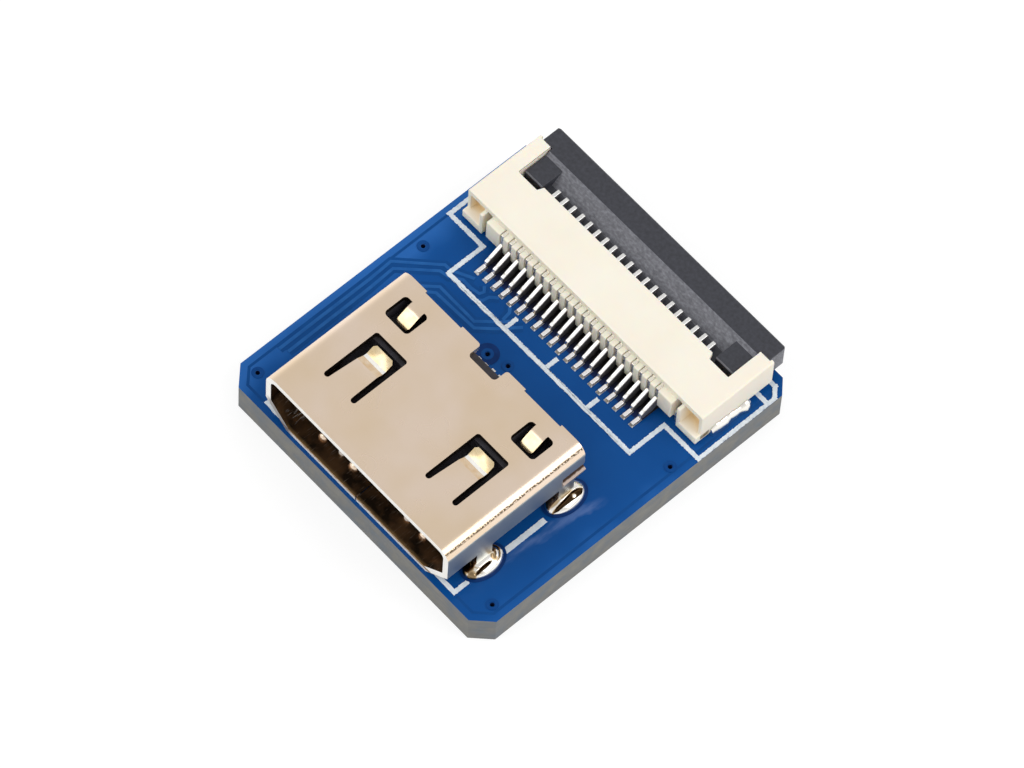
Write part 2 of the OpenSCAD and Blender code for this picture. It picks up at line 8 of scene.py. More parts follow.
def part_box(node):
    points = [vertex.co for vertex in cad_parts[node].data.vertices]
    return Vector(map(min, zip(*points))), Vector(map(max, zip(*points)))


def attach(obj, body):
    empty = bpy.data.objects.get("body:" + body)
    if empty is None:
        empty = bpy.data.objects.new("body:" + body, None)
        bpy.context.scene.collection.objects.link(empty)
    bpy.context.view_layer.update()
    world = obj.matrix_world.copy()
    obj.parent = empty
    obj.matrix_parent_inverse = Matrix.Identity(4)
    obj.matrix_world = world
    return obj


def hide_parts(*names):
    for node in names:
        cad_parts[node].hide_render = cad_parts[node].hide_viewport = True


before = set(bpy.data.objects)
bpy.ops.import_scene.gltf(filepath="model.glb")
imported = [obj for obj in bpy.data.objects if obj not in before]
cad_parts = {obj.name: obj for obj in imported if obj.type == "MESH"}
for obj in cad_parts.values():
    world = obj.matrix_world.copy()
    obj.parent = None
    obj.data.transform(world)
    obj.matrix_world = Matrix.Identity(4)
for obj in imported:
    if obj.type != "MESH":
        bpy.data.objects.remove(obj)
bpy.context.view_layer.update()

MM = 0.001


def box_mm(node):
    """A CAD node's lowest and highest corners, in millimetres."""
    return [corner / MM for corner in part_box(node)]


# Sizes and places in millimetres, and counts: read from the frame, or the same as in the part's source
BOARD_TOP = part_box("board")[1].z / MM
BOARD_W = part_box("board")[1].x * 2 / MM
BOARD_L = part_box("board")[1].y * 2 / MM
SHELL_LOW, SHELL_HIGH = box_mm("socket_shell")
HOUSING_LOW, HOUSING_HIGH = box_mm("ribbon_housing")
SHEET_T = 0.3
SHELL_HALF = 5.575
SHELL_FLOOR = BOARD_TOP + 0.35
CREASE_DOWN = 0.17
COMB_DEEP = 0.33
SLIT_LOW = BOARD_TOP + 1.65
SLIT_FRONT = -2.22
RIBBON_X = (HOUSING_LOW.x + HOUSING_HIGH.x) / 2
RIBBON_PINS = sum(name.startswith("ribbon_contact_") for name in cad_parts) - 1
SOCKET_PINS = sum(name.startswith("socket_contact_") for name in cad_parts) - 1
LEGS = ("front_left", "front_right", "rear_left", "rear_right")
VIAS = [(-7.1, -7.6), (7.2, -7.45), (-7.1, 1.55), (7.3, 2.3), (-1.53, 0.15), (-0.56, 0.41)]


def new_piece(name, data, *materials):
    """A new object in the scene: a mesh with its materials, a curve, a lamp or the camera."""
    piece = bpy.data.objects.new(name, data)
    bpy.context.scene.collection.objects.link(piece)
    for material in materials:
        piece.data.materials.append(material)
    return piece


# The camera, at the photograph's angle

def place_camera():
    turn, tilt, roll = math.radians(44.0469), math.radians(61.6606), math.radians(4.4)
    distance, shift_right, shift_up = 306.8605, -0.00937, -0.69314
    middle = Vector((0.1518, 0.0626, 0))
    focal_pixels, image_width, sensor_mm = 7398.66, 1024, 36
    back = Vector((math.sin(turn) * math.cos(tilt), -math.cos(turn) * math.cos(tilt), math.sin(tilt)))
    level = Vector((0, 0, 1)).cross(back).normalized()
    upright = back.cross(level)
    right = level * math.cos(roll) + upright * math.sin(roll)
    up = upright * math.cos(roll) - level * math.sin(roll)
    data = bpy.data.cameras.new("camera")
    data.sensor_width = sensor_mm
    data.lens = focal_pixels * sensor_mm / image_width
    data.clip_start = 0.01
    camera = new_piece("camera", data)
    matrix = Matrix((right, up, back)).transposed().to_4x4()
    matrix.translation = (back * distance - right * shift_right - up * shift_up + middle) * MM
    camera.matrix_world = matrix
    bpy.context.scene.camera = camera


place_camera()


# Materials

def srgb(red, green, blue):
    """A colour as it is read off a screen, from 0 to 255, as Blender's linear values."""
    def linear(value):
        value = value / 255
        return value / 12.92 if value <= 0.04045 else ((value + 0.055) / 1.055) ** 2.4
    return (linear(red), linear(green), linear(blue), 1.0)


def set_stops(ramp, stops):
    """Gives a colour ramp its stops, each a place from 0 to 1 and a colour."""
    while len(ramp.elements) < len(stops):
        ramp.elements.new(0.5)
    for element, (at, colour) in zip(ramp.elements, stops):
        element.position = at
        element.color = colour


class Finish:
    """A material made node by node around one Principled shader."""

    # most of the noise's values lie between these
    noise_low, noise_high = 0.3, 0.7

    def __init__(self, name, colour, rough, metal=0.0, gloss=0.5):
        self.material = bpy.data.materials.new(name)
        self.material.use_nodes = True
        self.material.diffuse_color = colour
        self.tree = self.material.node_tree
        self.shader = self.tree.nodes["Principled BSDF"]
        self.put("Base Color", colour)
        self.put("Roughness", rough)
        self.put("Metallic", metal)
        self.put("Specular IOR Level", gloss)
        self.place = self.node("TexCoord").outputs["Object"]

    def feed(self, socket, value):
        """Links another node's output to a socket, or sets the socket to a plain value."""
        if isinstance(value, bpy.types.NodeSocket):
            self.tree.links.new(value, socket)
        else:
            socket.default_value = value

    def put(self, name, value):
        """Feeds one of the shader's own sockets."""
        self.feed(self.shader.inputs[name], value)

    def node(self, kind, **inputs):
        made = self.tree.nodes.new("ShaderNode" + kind)
        for name, value in inputs.items():
            self.feed(made.inputs[name.replace("_", " ")], value)
        return made

    def maths(self, operation, a, b=None):
        made = self.node("Math", Value=a)
        made.operation = operation
        if b is not None:
            self.feed(made.inputs[1], b)
        return made.outputs[0]

    def plus(self, a, b):
        return self.maths("ADD", a, b)

    def times(self, a, b):
        return self.maths("MULTIPLY", a, b)

    def along(self, axis):
        """How far along one axis a point lies, in metres."""
        return self.node("SeparateXYZ", Vector=self.place).outputs[axis]

    def off_middle(self, axis):
        """How far from the middle a point lies along one axis, on either side, in metres."""
        return self.maths("ABSOLUTE", self.along(axis))

    def stretched(self, x, y, z):
        """Object coordinates, stretched along each axis."""
        return self.node("Mapping", Vector=self.place, Scale=(x, y, z)).outputs["Vector"]

    def noise(self, grain_mm, detail=2.0, place=None):
        """Cloudy noise whose patches are about grain_mm across."""
        scale = 1 / (grain_mm * MM)
        made = self.node("TexNoise", Vector=place or self.place, Scale=scale, Detail=detail)
        return made.outputs["Fac"]

    def span(self, value, low, high, to_low=0.0, to_high=1.0):
        """Spreads the values between low and high over those between to_low and to_high."""
        made = self.node("MapRange", Value=value, From_Min=low, From_Max=high,
                         To_Min=to_low, To_Max=to_high)
        return made.outputs["Result"]

    def wander(self, grain_mm, low, high, detail=2.0):
        """A value that wanders between low and high in patches about grain_mm across."""
        return self.span(self.noise(grain_mm, detail), self.noise_low, self.noise_high, low, high)

    def fade(self, axis, from_mm, to_mm, start=0.0, end=1.0):
        """A value that goes from start to end between two places along one axis."""
        return self.span(self.along(axis), from_mm * MM, to_mm * MM, start, end)

    def within(self, value, low_mm, high_mm, soft_mm):
        """1 where value lies between two measures in millimetres, fading to 0 outside them."""
        rising = self.span(value, (low_mm - soft_mm) * MM, low_mm * MM)
        return self.times(rising, self.span(value, high_mm * MM, (high_mm + soft_mm) * MM, 1.0, 0.0))

    def band(self, axis, low_mm, high_mm, soft_mm):
        """1 between two places along one axis, fading to 0 outside them."""
        return self.within(self.along(axis), low_mm, high_mm, soft_mm)

    def ramp(self, value, *stops):
        """A colour read off a ramp, each stop a place from 0 to 1 and a colour."""
        made = self.node("ValToRGB", Fac=value)
        set_stops(made.color_ramp, stops)
        return made.outputs["Color"]

    def mottle(self, grain_mm, first, second, detail=2.0):
        """A colour that drifts between two tones in patches about grain_mm across."""
        return self.ramp(self.noise(grain_mm, detail), (self.noise_low, first), (self.noise_high, second))

    def blend(self, share, first, second):
        """Colour first, turning to colour second where share is 1."""
        made = self.node("Mix")
        made.data_type = "RGBA"
        for index, value in ((0, share), (6, first), (7, second)):
            self.feed(made.inputs[index], value)
        return made.outputs[2]

    def bump(self, height, strength, depth_mm, after=None):
        """Fine relief. after is the normal that comes out of a relief under this one."""
        made = self.node("Bump", Height=height, Strength=strength, Distance=depth_mm * MM)
        if after is not None:
            self.feed(made.inputs["Normal"], after)
        self.put("Normal", made.outputs["Normal"])
        return made.outputs["Normal"]

    def relief(self, grain_mm, strength, depth_mm, detail=2.0):
        """Fine relief of cloudy noise."""
        return self.bump(self.noise(grain_mm, detail), strength, depth_mm)


def mottled(name, colour, rough, patches, relief, metal=0.0, gloss=0.5):
    """A finish of two close tones over a fine relief, each with what mottle and relief need."""
    made = Finish(name, colour, rough, metal, gloss)
    made.put("Base Color", made.mottle(*patches))
    made.relief(*relief)
    return made.material


def blue_mask():
    """Glossy lacquer over copper, a little lighter towards the board's left and right edges."""
    made = Finish("blue_mask", srgb(15, 78, 144), 0.25, gloss=0.1)
    left_edge = made.fade("X", -BOARD_W / 2, -BOARD_W / 2 + 1.7, 1.0, 0.0)
    right_edge = made.fade("X", BOARD_W / 2 - 1.0, BOARD_W / 2, 0.0, 0.35)
    total = made.plus(made.plus(left_edge, right_edge), made.wander(3.0, 0.0, 0.5))
    colour = made.ramp(total, (0.0, srgb(10, 72, 140)), (0.5, srgb(15, 78, 148)), (1.0, srgb(38, 98, 172)))
    # painted reflection: a pale streak in the lacquer beside the solder beans, along a line that drifts
    # outward towards the back
    drift = made.plus(made.along("X"), made.times(made.along("Y"), -0.13))
    ragged = made.plus(drift, made.wander(0.9, -0.12 * MM, 0.12 * MM))
    beside = made.times(made.within(ragged, 6.56, 6.8, 0.16), made.band("Y", -7.2, -1.4, 0.8))
    streaks = made.noise(0.6, 3.0, made.stretched(1.6, 0.4, 1.0))
    painted_reflection = made.times(beside, made.span(streaks, 0.4, 0.62, 0.15, 0.75))
    made.put("Base Color", made.blend(painted_reflection, colour, srgb(86, 116, 172)))
    made.put("Roughness", made.wander(0.5, 0.14, 0.24))
    made.relief(0.8, 0.05, 0.02)
    return made.material


def lacquer_ring_and_shadow(name, first, second):
    """Darker lacquer in a ring: sunk round a hole, and painted as shadow round a solder pad."""
    return mottled(name, first, 0.25, (0.5, first, second), (0.2, 0.15, 0.01), gloss=0.1)


def laminate_edge():
    """Routed glass-fibre laminate: cloudy blue-grey and olive patches over faint layers."""
    made = Finish("laminate_edge", srgb(134, 135, 134), 0.8, gloss=0.2)
    cloud = made.ramp(made.noise(0.7, 3.0), (0.32, srgb(124, 130, 136)), (0.5, srgb(133, 134, 134)),
                      (0.68, srgb(141, 140, 135)))
    layers = made.noise(0.3, 2.0, made.stretched(0.3, 0.3, 2.5))
    made.put("Base Color", made.blend(made.span(layers, 0.3, 0.7, 0.0, 0.22), cloud, srgb(108, 106, 100)))
    made.bump(layers, 0.15, 0.03, after=made.relief(0.12, 0.2, 0.02))
    return made.material


def shade_under_contacts():
    """Painted shade on the board under the ribbon contacts, turning from navy to a neutral dark towards the
    housing.
    """
    made = Finish("painted_shade_under_contacts", srgb(16, 24, 40), 0.35, gloss=0.1)
    under = made.fade("Y", HOUSING_LOW.y - 1.0, HOUSING_LOW.y - 0.3)
    depth = made.times(under, made.wander(0.3, 0.8, 1.2))
    made.put("Base Color", made.ramp(depth, (0.0, srgb(20, 48, 104)), (0.5, srgb(36, 40, 66)),
                                     (1.0, srgb(46, 43, 43))))
    made.relief(0.2, 0.2, 0.01)
    return made.material


def painted_recess_shade():
    """The housing's corner recesses: ivory plastic with painted shade, turning amber deeper in."""
    made = Finish("painted_recess_shade", srgb(236, 208, 160), 0.5, gloss=0.2)
    deep = made.fade("Y", HOUSING_LOW.y + 0.05, HOUSING_LOW.y + 0.7)
    made.put("Base Color", made.ramp(deep, (0.0, srgb(251, 244, 230)), (0.55, srgb(250, 237, 212)),
                                     (1.0, srgb(243, 219, 174))))
    made.relief(0.15, 0.1, 0.01)
    return made.material


def pale_bevel_highlight():
    """The slider's front bevel and the ends of its bar: the charcoal moulding painted a paler, speckled grey
    as a highlight.
    """
    made = Finish("charcoal_with_painted_highlight", srgb(98, 99, 104), 0.5, gloss=0.4)
    speckle = made.noise(0.1, 4.0, made.stretched(0.6, 1.0, 1.0))
    made.put("Base Color", made.ramp(speckle, (0.3, srgb(92, 93, 99)), (0.5, srgb(110, 111, 118)),
                                     (0.7, srgb(130, 131, 138))))
    made.bump(speckle, 0.12, 0.01)
    return made.material


def gold_nickel_sheet():
    """Satin plated sheet, painted white along its right bend as a highlight, with a faint groove below that
    whose broken dark line is a painted reflection.
    """
    made = Finish("satin_gold_sheet", (0.9, 0.715, 0.56, 1), 0.26, 1.0)
    cloud = made.ramp(made.noise(2.8), (0.35, (0.875, 0.69, 0.5, 1)), (0.65, (0.915, 0.745, 0.6, 1)))
    crease = SHELL_HIGH.z - CREASE_DOWN
    # a faint groove in the relief; its broken dark line in the colour is a painted reflection
    groove = made.times(made.band("Z", crease - 0.03, crease + 0.01, 0.045),
                        made.band("X", SHELL_HALF - 0.5, SHELL_HALF + 1, 0.1))
    painted_dark_line = made.times(groove, made.span(made.noise(0.07, 3.0), 0.4, 0.52, 0.15, 1.0))
    # painted highlight: white along the right bend, with a ragged edge
    ragged = made.plus(made.along("X"), made.wander(0.16, -0.1 * MM, 0.1 * MM, 3.0))
    bend = made.span(ragged, (SHELL_HALF - 0.36) * MM, (SHELL_HALF - 0.26) * MM)
    upper = made.times(bend, made.fade("Z", crease + 0.06, crease + 0.1))
    wear_and_highlight = made.times(upper, made.span(made.noise(0.07, 3.0), 0.3, 0.42, 0.55, 1.0))
    with_highlight = made.blend(wear_and_highlight, cloud, (1.0, 0.985, 0.95, 1))
    made.put("Base Color", made.blend(painted_dark_line, with_highlight, (0.09, 0.06, 0.03, 1)))
    made.put("Metallic", made.span(wear_and_highlight, 0.0, 1.0, 1.0, 0.15))
    made.put("Roughness", made.wander(1.5, 0.24, 0.28))
    soft = made.relief(0.9, 0.01, 0.02, 1.0)
    made.bump(made.noise(0.09), made.times(groove, 0.6), 0.02, after=soft)
    return made.material


def slit_lip():
    """The ledge in the side slits: dull, with painted shade in the corner behind it."""
    made = Finish("dull_slit_lip", srgb(196, 176, 166), 0.6, gloss=0.2)
    ragged = made.plus(made.off_middle("X"), made.wander(0.2, -0.02 * MM, 0.02 * MM))
    lip = made.span(ragged, (SHELL_HALF - 0.02) * MM, (SHELL_HALF + 0.02) * MM)
    made.put("Base Color", made.blend(lip, srgb(66, 44, 30), srgb(200, 180, 168)))
    made.relief(0.15, 0.1, 0.01)
    return made.material


def cut_sheet_edge():
    """Pale metal: the bare metal of the sheet's cut edges, also the painted highlight on each finger's fold
    and on the brightest spring tips; golden brown along the inner half of the bottom rim, and painted shade
    at the left of the mouth.
    """
    made = Finish("cut_edge_and_painted_highlight", (0.97, 0.95, 0.91, 1), 0.35, 0.3)
    tone = made.mottle(0.3, (0.95, 0.92, 0.86, 1), (0.99, 0.98, 0.95, 1))
    ragged = made.plus(made.along("Z"), made.wander(0.25, -0.04 * MM, 0.04 * MM, 3.0))
    lining = made.within(ragged, SHELL_FLOOR - 0.1, SHELL_FLOOR, 0.04)
    # painted shade on the slanted rim at the left of the mouth
    left = made.times(made.band("X", -5.3, -4.2, 0.3),
                      made.within(ragged, BOARD_TOP, BOARD_TOP + 1.3, 0.2))
    lined = made.blend(lining, tone, (0.45, 0.27, 0.11, 1))
    made.put("Base Color", made.blend(made.times(left, 0.8), lined, (0.12, 0.1, 0.1, 1)))
    made.bump(made.noise(0.06, 2.0, made.stretched(1.0, 1.0, 0.3)), 0.15, 0.01)
    return made.material


def inner_sheet():
    """The inside of the shell: the sheet painted dark brown as shade and dark reflection, with scratches from
    a plug, and painted amber light at its lip.
    """
    made = Finish("inner_sheet_painted_dark", (0.2, 0.11, 0.05, 1), 0.38, 1.0)
    tone = made.ramp(made.noise(0.8, 3.0), (0.36, (0.06, 0.04, 0.025, 1)), (0.64, (0.28, 0.15, 0.07, 1)))
    scratch = made.span(made.noise(0.05, 2.0, made.stretched(1.0, 0.08, 1.0)), 0.62, 0.7, 0.0, 0.7)
    brow = made.fade("Y", SHELL_LOW.y, SHELL_LOW.y + 0.16, 1.0, 0.0)
    floor = made.fade("Z", SHELL_FLOOR + 0.05, SHELL_FLOOR + 0.2, 1.0, 0.0)
    glow = made.times(made.times(brow, floor), made.wander(0.5, 0.6, 1.0))
    lit = made.blend(glow, made.blend(scratch, tone, (0.55, 0.45, 0.36, 1)), (1.0, 0.62, 0.26, 1))
    fine = made.span(made.noise(0.06, 2.0, made.stretched(0.4, 0.12, 1.0)), 0.54, 0.6)
    wear_and_highlight = made.times(made.band("X", -4.6, -4.2, 0.12), made.band("Y", -8.1, -7.4, 0.15))
    made.put("Base Color", made.blend(made.times(wear_and_highlight, fine), lit, (1.0, 0.96, 0.92, 1)))
    made.relief(0.3, 0.1, 0.02, 3.0)
    return made.material


def shaded_contact_side():
    """The sheared sides of the stamped contacts, painted dark as shade."""
    made = Finish("contact_side_painted_dark", (0.12, 0.11, 0.12, 1), 0.55, 0.2)
    made.put("Base Color", made.mottle(0.15, (0.09, 0.085, 0.09, 1), (0.16, 0.15, 0.16, 1)))
    made.bump(made.noise(0.06, 2.0, made.stretched(1.0, 1.0, 0.25)), 0.3, 0.01)
    return made.material


def solder():
    """Reflowed solder: mirror-bright and softly rippled, turning brown and dark where the mesh's float
    attribute is high, for soldering residue and for painted dark reflections.
    """
    made = Finish("bright_solder", (0.95, 0.92, 0.86, 1), 0.12, 1.0)
    flux_and_reflection = made.node("Attribute")
    flux_and_reflection.attribute_name = "flux_and_reflection"
    clean = made.mottle(0.4, (0.92, 0.88, 0.8, 1), (0.98, 0.96, 0.93, 1))
    darkened = made.ramp(flux_and_reflection.outputs["Fac"], (0.0, (0.85, 0.75, 0.6, 1)), (0.4, (0.5, 0.36, 0.2, 1)),
                        (0.75, (0.1, 0.055, 0.02, 1)), (1.0, (0.035, 0.02, 0.01, 1)))
    made.put("Base Color", made.blend(made.span(flux_and_reflection.outputs["Fac"], 0.0, 0.3), clean, darkened))
    made.put("Roughness", made.wander(0.25, 0.08, 0.18))
    made.relief(0.28, 0.15, 0.03)
    return made.material


def tin_blade():
    """Tin plating on the ribbon contacts: darker grey in patches on the slope, warm under the housing and
    paler on the feet.
    """
    made = Finish("tin_blade", (0.93, 0.92, 0.9, 1), 0.28, 1.0)
    tone = made.mottle(0.25, (0.88, 0.87, 0.85, 1), (0.97, 0.96, 0.94, 1))
    front = HOUSING_LOW.y
    slope = made.band("Y", front - 0.62, front - 0.62, 0.12)
    patch = made.times(slope, made.span(made.noise(0.2), 0.4, 0.6, 0.3, 1.0))
    under = made.times(made.fade("Y", front - 0.1, front + 0.05),
                       made.fade("Y", front + 1.0, front + 1.2, 1.0, 0.0))
    warm = made.blend(under, made.blend(patch, tone, (0.42, 0.4, 0.36, 1)), (0.95, 0.9, 0.78, 1))
    foot = made.fade("Y", front - 0.86, front - 0.8, 1.0, 0.0)
    made.put("Base Color", made.blend(foot, warm, (0.98, 0.95, 0.94, 1)))
    made.put("Roughness", made.wander(0.1, 0.22, 0.36))
    made.relief(0.07, 0.2, 0.01)
    return made.material


def cream_plastic():
    """Warm ivory moulding that lets a little light through, painted paler along the housing's front as light,
    with an olive spot in each front corner.
    """
    made = Finish("ivory_moulding", srgb(247, 238, 223), 0.45, gloss=0.3)
    let_through = 0.35
    made.put("Subsurface Weight", let_through)
    made.put("Subsurface Radius", (0.9, 0.55, 0.3))
    made.put("Subsurface Scale", 0.35 * MM)
    comb_rear = HOUSING_LOW.y + COMB_DEEP
    # painted light: the front of the housing a paler ivory
    lit_comb_front = made.fade("Y", comb_rear, comb_rear + 0.02, 1.0, 0.0)
    ivory = made.blend(lit_comb_front, made.mottle(2.5, srgb(246, 237, 221), srgb(249, 241, 227)), srgb(255, 246, 226))
    foot = made.times(made.band("Y", HOUSING_LOW.y + 0.36, HOUSING_LOW.y + 0.78, 0.06),
                      made.band("Z", BOARD_TOP + 0.22, BOARD_TOP + 0.48, 0.05))
    corner = made.times(foot, made.within(made.off_middle("X"), 6.95, 8.0, 0.02))
    spot = made.times(corner, made.span(made.noise(0.12), 0.35, 0.6, 0.6, 1.0))
    made.put("Base Color", made.blend(spot, ivory, srgb(120, 100, 60)))
    made.put("Subsurface Weight", made.span(spot, 0.0, 0.3, let_through, 0.0))
    made.put("Roughness", made.wander(0.3, 0.4, 0.52))
    made.relief(0.1, 0.08, 0.01, 3.0)
    return made.material


def charcoal_plastic():
    """Glass-filled charcoal moulding with a fine sparkle of fibres."""
    made = Finish("charcoal_moulding", srgb(54, 56, 63), 0.42, gloss=0.4)
    fibres = made.noise(0.16, 4.0)
    made.put("Base Color", made.ramp(fibres, (0.3, srgb(49, 50, 56)), (0.7, srgb(61, 62, 70))))
    made.put("Roughness", made.wander(0.14, 0.36, 0.5))
    made.bump(fibres, 0.1, 0.012)
    return made.material


BLUE, LAMINATE, CONTACT_SHADE, RECESS_SHADE = blue_mask(), laminate_edge(), shade_under_contacts(), painted_recess_shade()
BEVEL_HIGHLIGHT, SHEET, LIP, PALE_EDGE_AND_HIGHLIGHT, INNER_SHADE = pale_bevel_highlight(), gold_nickel_sheet(), slit_lip(), cut_sheet_edge(), inner_sheet()
SIDE, SOLDER, TIN = shaded_contact_side(), solder(), tin_blade()
IVORY, CHARCOAL = cream_plastic(), charcoal_plastic()
RING = lacquer_ring_and_shadow("lacquer_round_hole", srgb(10, 66, 131), srgb(14, 72, 138))
# a darker ring round the wide hole, and the painted shadow round the solder pads
DARK_RING_AND_SHADOW = lacquer_ring_and_shadow("dark_lacquer_ring_and_painted_shadow", srgb(9, 44, 98), srgb(14, 54, 114))

# lacquer where there is no copper under it, and over a copper track, where it is thinnest
GAP = mottled("blue_mask_over_bare_laminate", srgb(10, 66, 132), 0.22,
              (0.9, srgb(11, 68, 131), srgb(14, 74, 139)), (0.3, 0.12, 0.02, 3.0), gloss=0.1)
TRACK = mottled("blue_mask_over_track", srgb(26, 84, 152), 0.22,
                (0.6, srgb(26, 86, 154), srgb(36, 97, 166)), (0.2, 0.1, 0.01), gloss=0.12)
# the walls of the holes, painted dark as shade
HOLE_SHADE = mottled("hole_wall_painted_dark", srgb(20, 30, 60), 0.5,
                  (0.15, srgb(18, 30, 78), srgb(34, 48, 98)), (0.1, 0.3, 0.01), metal=0.3)
# the housing's arms on their inner faces, brown in the narrow gap beside the slider
SHADE = mottled("brown_gap", srgb(92, 70, 36), 0.6,
                (0.4, srgb(74, 56, 28), srgb(112, 86, 46)), (0.1, 0.2, 0.01), gloss=0.1)
# white ink with a slightly uneven film
INK = mottled("print_ink", srgb(214, 224, 232), 0.55,
              (0.22, srgb(214, 225, 235), srgb(236, 242, 247), 3.0), (0.12, 0.3, 0.01), gloss=0.3)
# the shell's two side walls, rougher than its top and painted greyer as a reflection
SIDE_SHEET = mottled("satin_side_sheet", (0.55, 0.57, 0.53, 1), 0.38,
                     (2.4, (0.48, 0.51, 0.48, 1), (0.62, 0.63, 0.58, 1)), (0.9, 0.01, 0.02, 1.0), metal=1.0)
# the windows' cut walls, painted dark as shade
WINDOW_WALL_SHADE = mottled("window_wall_painted_dark", (0.05, 0.035, 0.025, 1), 0.5,
               (0.1, (0.03, 0.022, 0.016, 1), (0.07, 0.05, 0.035, 1)), (0.05, 0.2, 0.01), metal=1.0)
# deeper gold where a finger bends down, painted as shade and reflection, and the warmer gold of the tips
BEND_SHADE = mottled("gold_bend_painted_deeper", (0.86, 0.6, 0.34, 1), 0.24,
               (0.3, (0.84, 0.6, 0.37, 1), (0.93, 0.75, 0.55, 1)), (0.1, 0.08, 0.01), metal=1.0)
TIP = mottled("warm_gold_tip", (0.86, 0.68, 0.41, 1), 0.2,
              (0.3, (0.8, 0.61, 0.34, 1), (0.9, 0.74, 0.48, 1)), (0.15, 0.12, 0.01, 3.0), metal=1.0)
# matt black moulding and gold-plated contacts inside the socket
BLACK = mottled("black_moulding", srgb(52, 50, 54), 0.5,
                (0.4, srgb(46, 44, 46), srgb(60, 58, 65)), (0.06, 0.2, 0.01), gloss=0.3)
GOLD = mottled("gold_contact", (0.95, 0.72, 0.36, 1), 0.2,
               (0.2, (0.9, 0.66, 0.3, 1), (0.98, 0.78, 0.44, 1)), (0.08, 0.1, 0.01), metal=1.0)
# small fillets of solder with a grainy, duller skin
DULL_SOLDER = mottled("grey_solder", (0.74, 0.73, 0.72, 1), 0.35,
                      (0.15, (0.62, 0.61, 0.6, 1), (0.84, 0.83, 0.82, 1)), (0.08, 0.4, 0.02), metal=1.0)


# Making meshes

def opened(data):
    """A mesh as bmesh work."""
    work = bmesh.new()
    work.from_mesh(data)
    return work


def closed(work, data):
    """Writes bmesh work into a mesh and ends the work."""
    work.to_mesh(data)
    work.free()
    return data


def turned_out(work, name, *materials):
    """A piece made of bmesh work, with its faces turned outwards."""
    bmesh.ops.recalc_face_normals(work, faces=work.faces)
    return new_piece(name, closed(work, bpy.data.meshes.new(name)), *materials)


def merged_copy(node, name, *materials):
    """A piece made of a CAD node, its loose triangles joined into whole flat faces."""
    work = opened(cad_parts[node].data)
    bmesh.ops.remove_doubles(work, verts=work.verts, dist=0.0005 * MM)
    bmesh.ops.dissolve_limit(work, angle_limit=math.radians(1), verts=work.verts, edges=work.edges)
    return new_piece(name, closed(work, bpy.data.meshes.new(name)), *materials)


def evaluated_mesh(thing):
    """What a mesh or curve becomes under its modifiers, as a plain mesh."""
    bpy.context.view_layer.update()
    graph = bpy.context.evaluated_depsgraph_get()
    return bpy.data.meshes.new_from_object(thing.evaluated_get(graph), preserve_all_data_layers=True,
                                           depsgraph=graph)


def settled(piece):
    """Turns a piece with modifiers into a plain mesh."""
    data = evaluated_mesh(piece)
    data.name = piece.name
    piece.modifiers.clear()
    piece.data = data
    return piece


def rounded(piece, width_mm, segments, sharp, wide=None):
    """Rounds the edges that turn more than sharp degrees. wide(a, b) is the width's share from a to b."""
    crease = 16
    work = opened(piece.data)
    layer = work.edges.layers.float.new("bevel_weight_edge")
    for face in work.faces:
        face.smooth = True
    for edge in work.edges:
        turn = edge.calc_face_angle(0) if len(edge.link_faces) == 2 else 0
        if turn > math.radians(sharp):
            edge[layer] = wide(*(corner.co / MM for corner in edge.verts)) if wide else 1.0
        elif turn > math.radians(crease):
            edge.smooth = False
    closed(work, piece.data)
    bevel = piece.modifiers.new("round_edges", "BEVEL")
    bevel.width = width_mm * MM
    bevel.segments = segments
    bevel.limit_method = "WEIGHT"
    bevel.use_clamp_overlap = True
    bevel.miter_outer = "MITER_ARC"
    flat = piece.modifiers.new("flat_faces", "WEIGHTED_NORMAL")
    flat.weight = 90
    flat.keep_sharp = True
    return settled(piece)


def lies_in(area, u, v):
    """Whether a point lies in an area, given as its least and greatest u and v."""
    return area[0] < u < area[1] and area[2] < v < area[3]


def painted(piece, finish):
    """Gives each face the material that finish(centre, normal) names, the centre in millimetres."""
    slots = list(piece.data.materials)
    for face in piece.data.polygons:
        face.material_index = slots.index(finish(face.center / MM, face.normal))
    return piece


def split_in_two(piece, second):
    """Splits a piece's faces into two pieces: those for which second(face) is false, and the rest."""
    halves = []
    for wanted in (False, True):
        work = opened(piece.data)
        work.normal_update()
        bmesh.ops.delete(work, geom=[face for face in work.faces if second(face) != wanted], context="FACES")
        data = closed(work, bpy.data.meshes.new(piece.name))
        halves.append(new_piece(piece.name + ("_sides" if wanted else ""), data))
    bpy.data.objects.remove(piece)
    return halves


def joined(first, second):
    """Joins the second piece's faces and materials to the first's, and merges where they meet."""
    work = opened(first.data)
    count = len(work.faces)
    work.from_mesh(second.data)
    work.faces.ensure_lookup_table()
    for face in work.faces[count:]:
        face.material_index += len(first.data.materials)
    bmesh.ops.remove_doubles(work, verts=work.verts, dist=0.0001 * MM)
    closed(work, first.data)
    for material in second.data.materials:
        first.data.materials.append(material)
    bpy.data.objects.remove(second)
    return first


def roughened(piece, step_mm, push_mm, grain_mm):
    """Cuts a flat piece's long edges into steps and pushes its points about sideways by noise."""
    work = opened(piece.data)
    bmesh.ops.triangulate(work, faces=work.faces)
    for _ in range(6):
        long = [edge for edge in work.edges if edge.calc_length() > step_mm * MM]
        if not long:
            break
        bmesh.ops.subdivide_edges(work, edges=long, cuts=1)
        bmesh.ops.triangulate(work, faces=work.faces)
    # noise_vector draws its offset anew at each run unless it is seeded
    noise.seed_set(5)
    for corner in work.verts:
        push = noise.noise_vector(corner.co / (grain_mm * MM)) * push_mm * MM
        push.z = 0
        corner.co += push
    closed(work, piece.data)


def skinned(work, rows):
    """Faces between each closed row of points and the next."""
    faces = []
    for lower, upper in zip(rows, rows[1:]):
        for j in range(len(lower)):
            n = (j + 1) % len(lower)
            faces.append(work.faces.new((lower[j], lower[n], upper[n], upper[j])))
    return faces


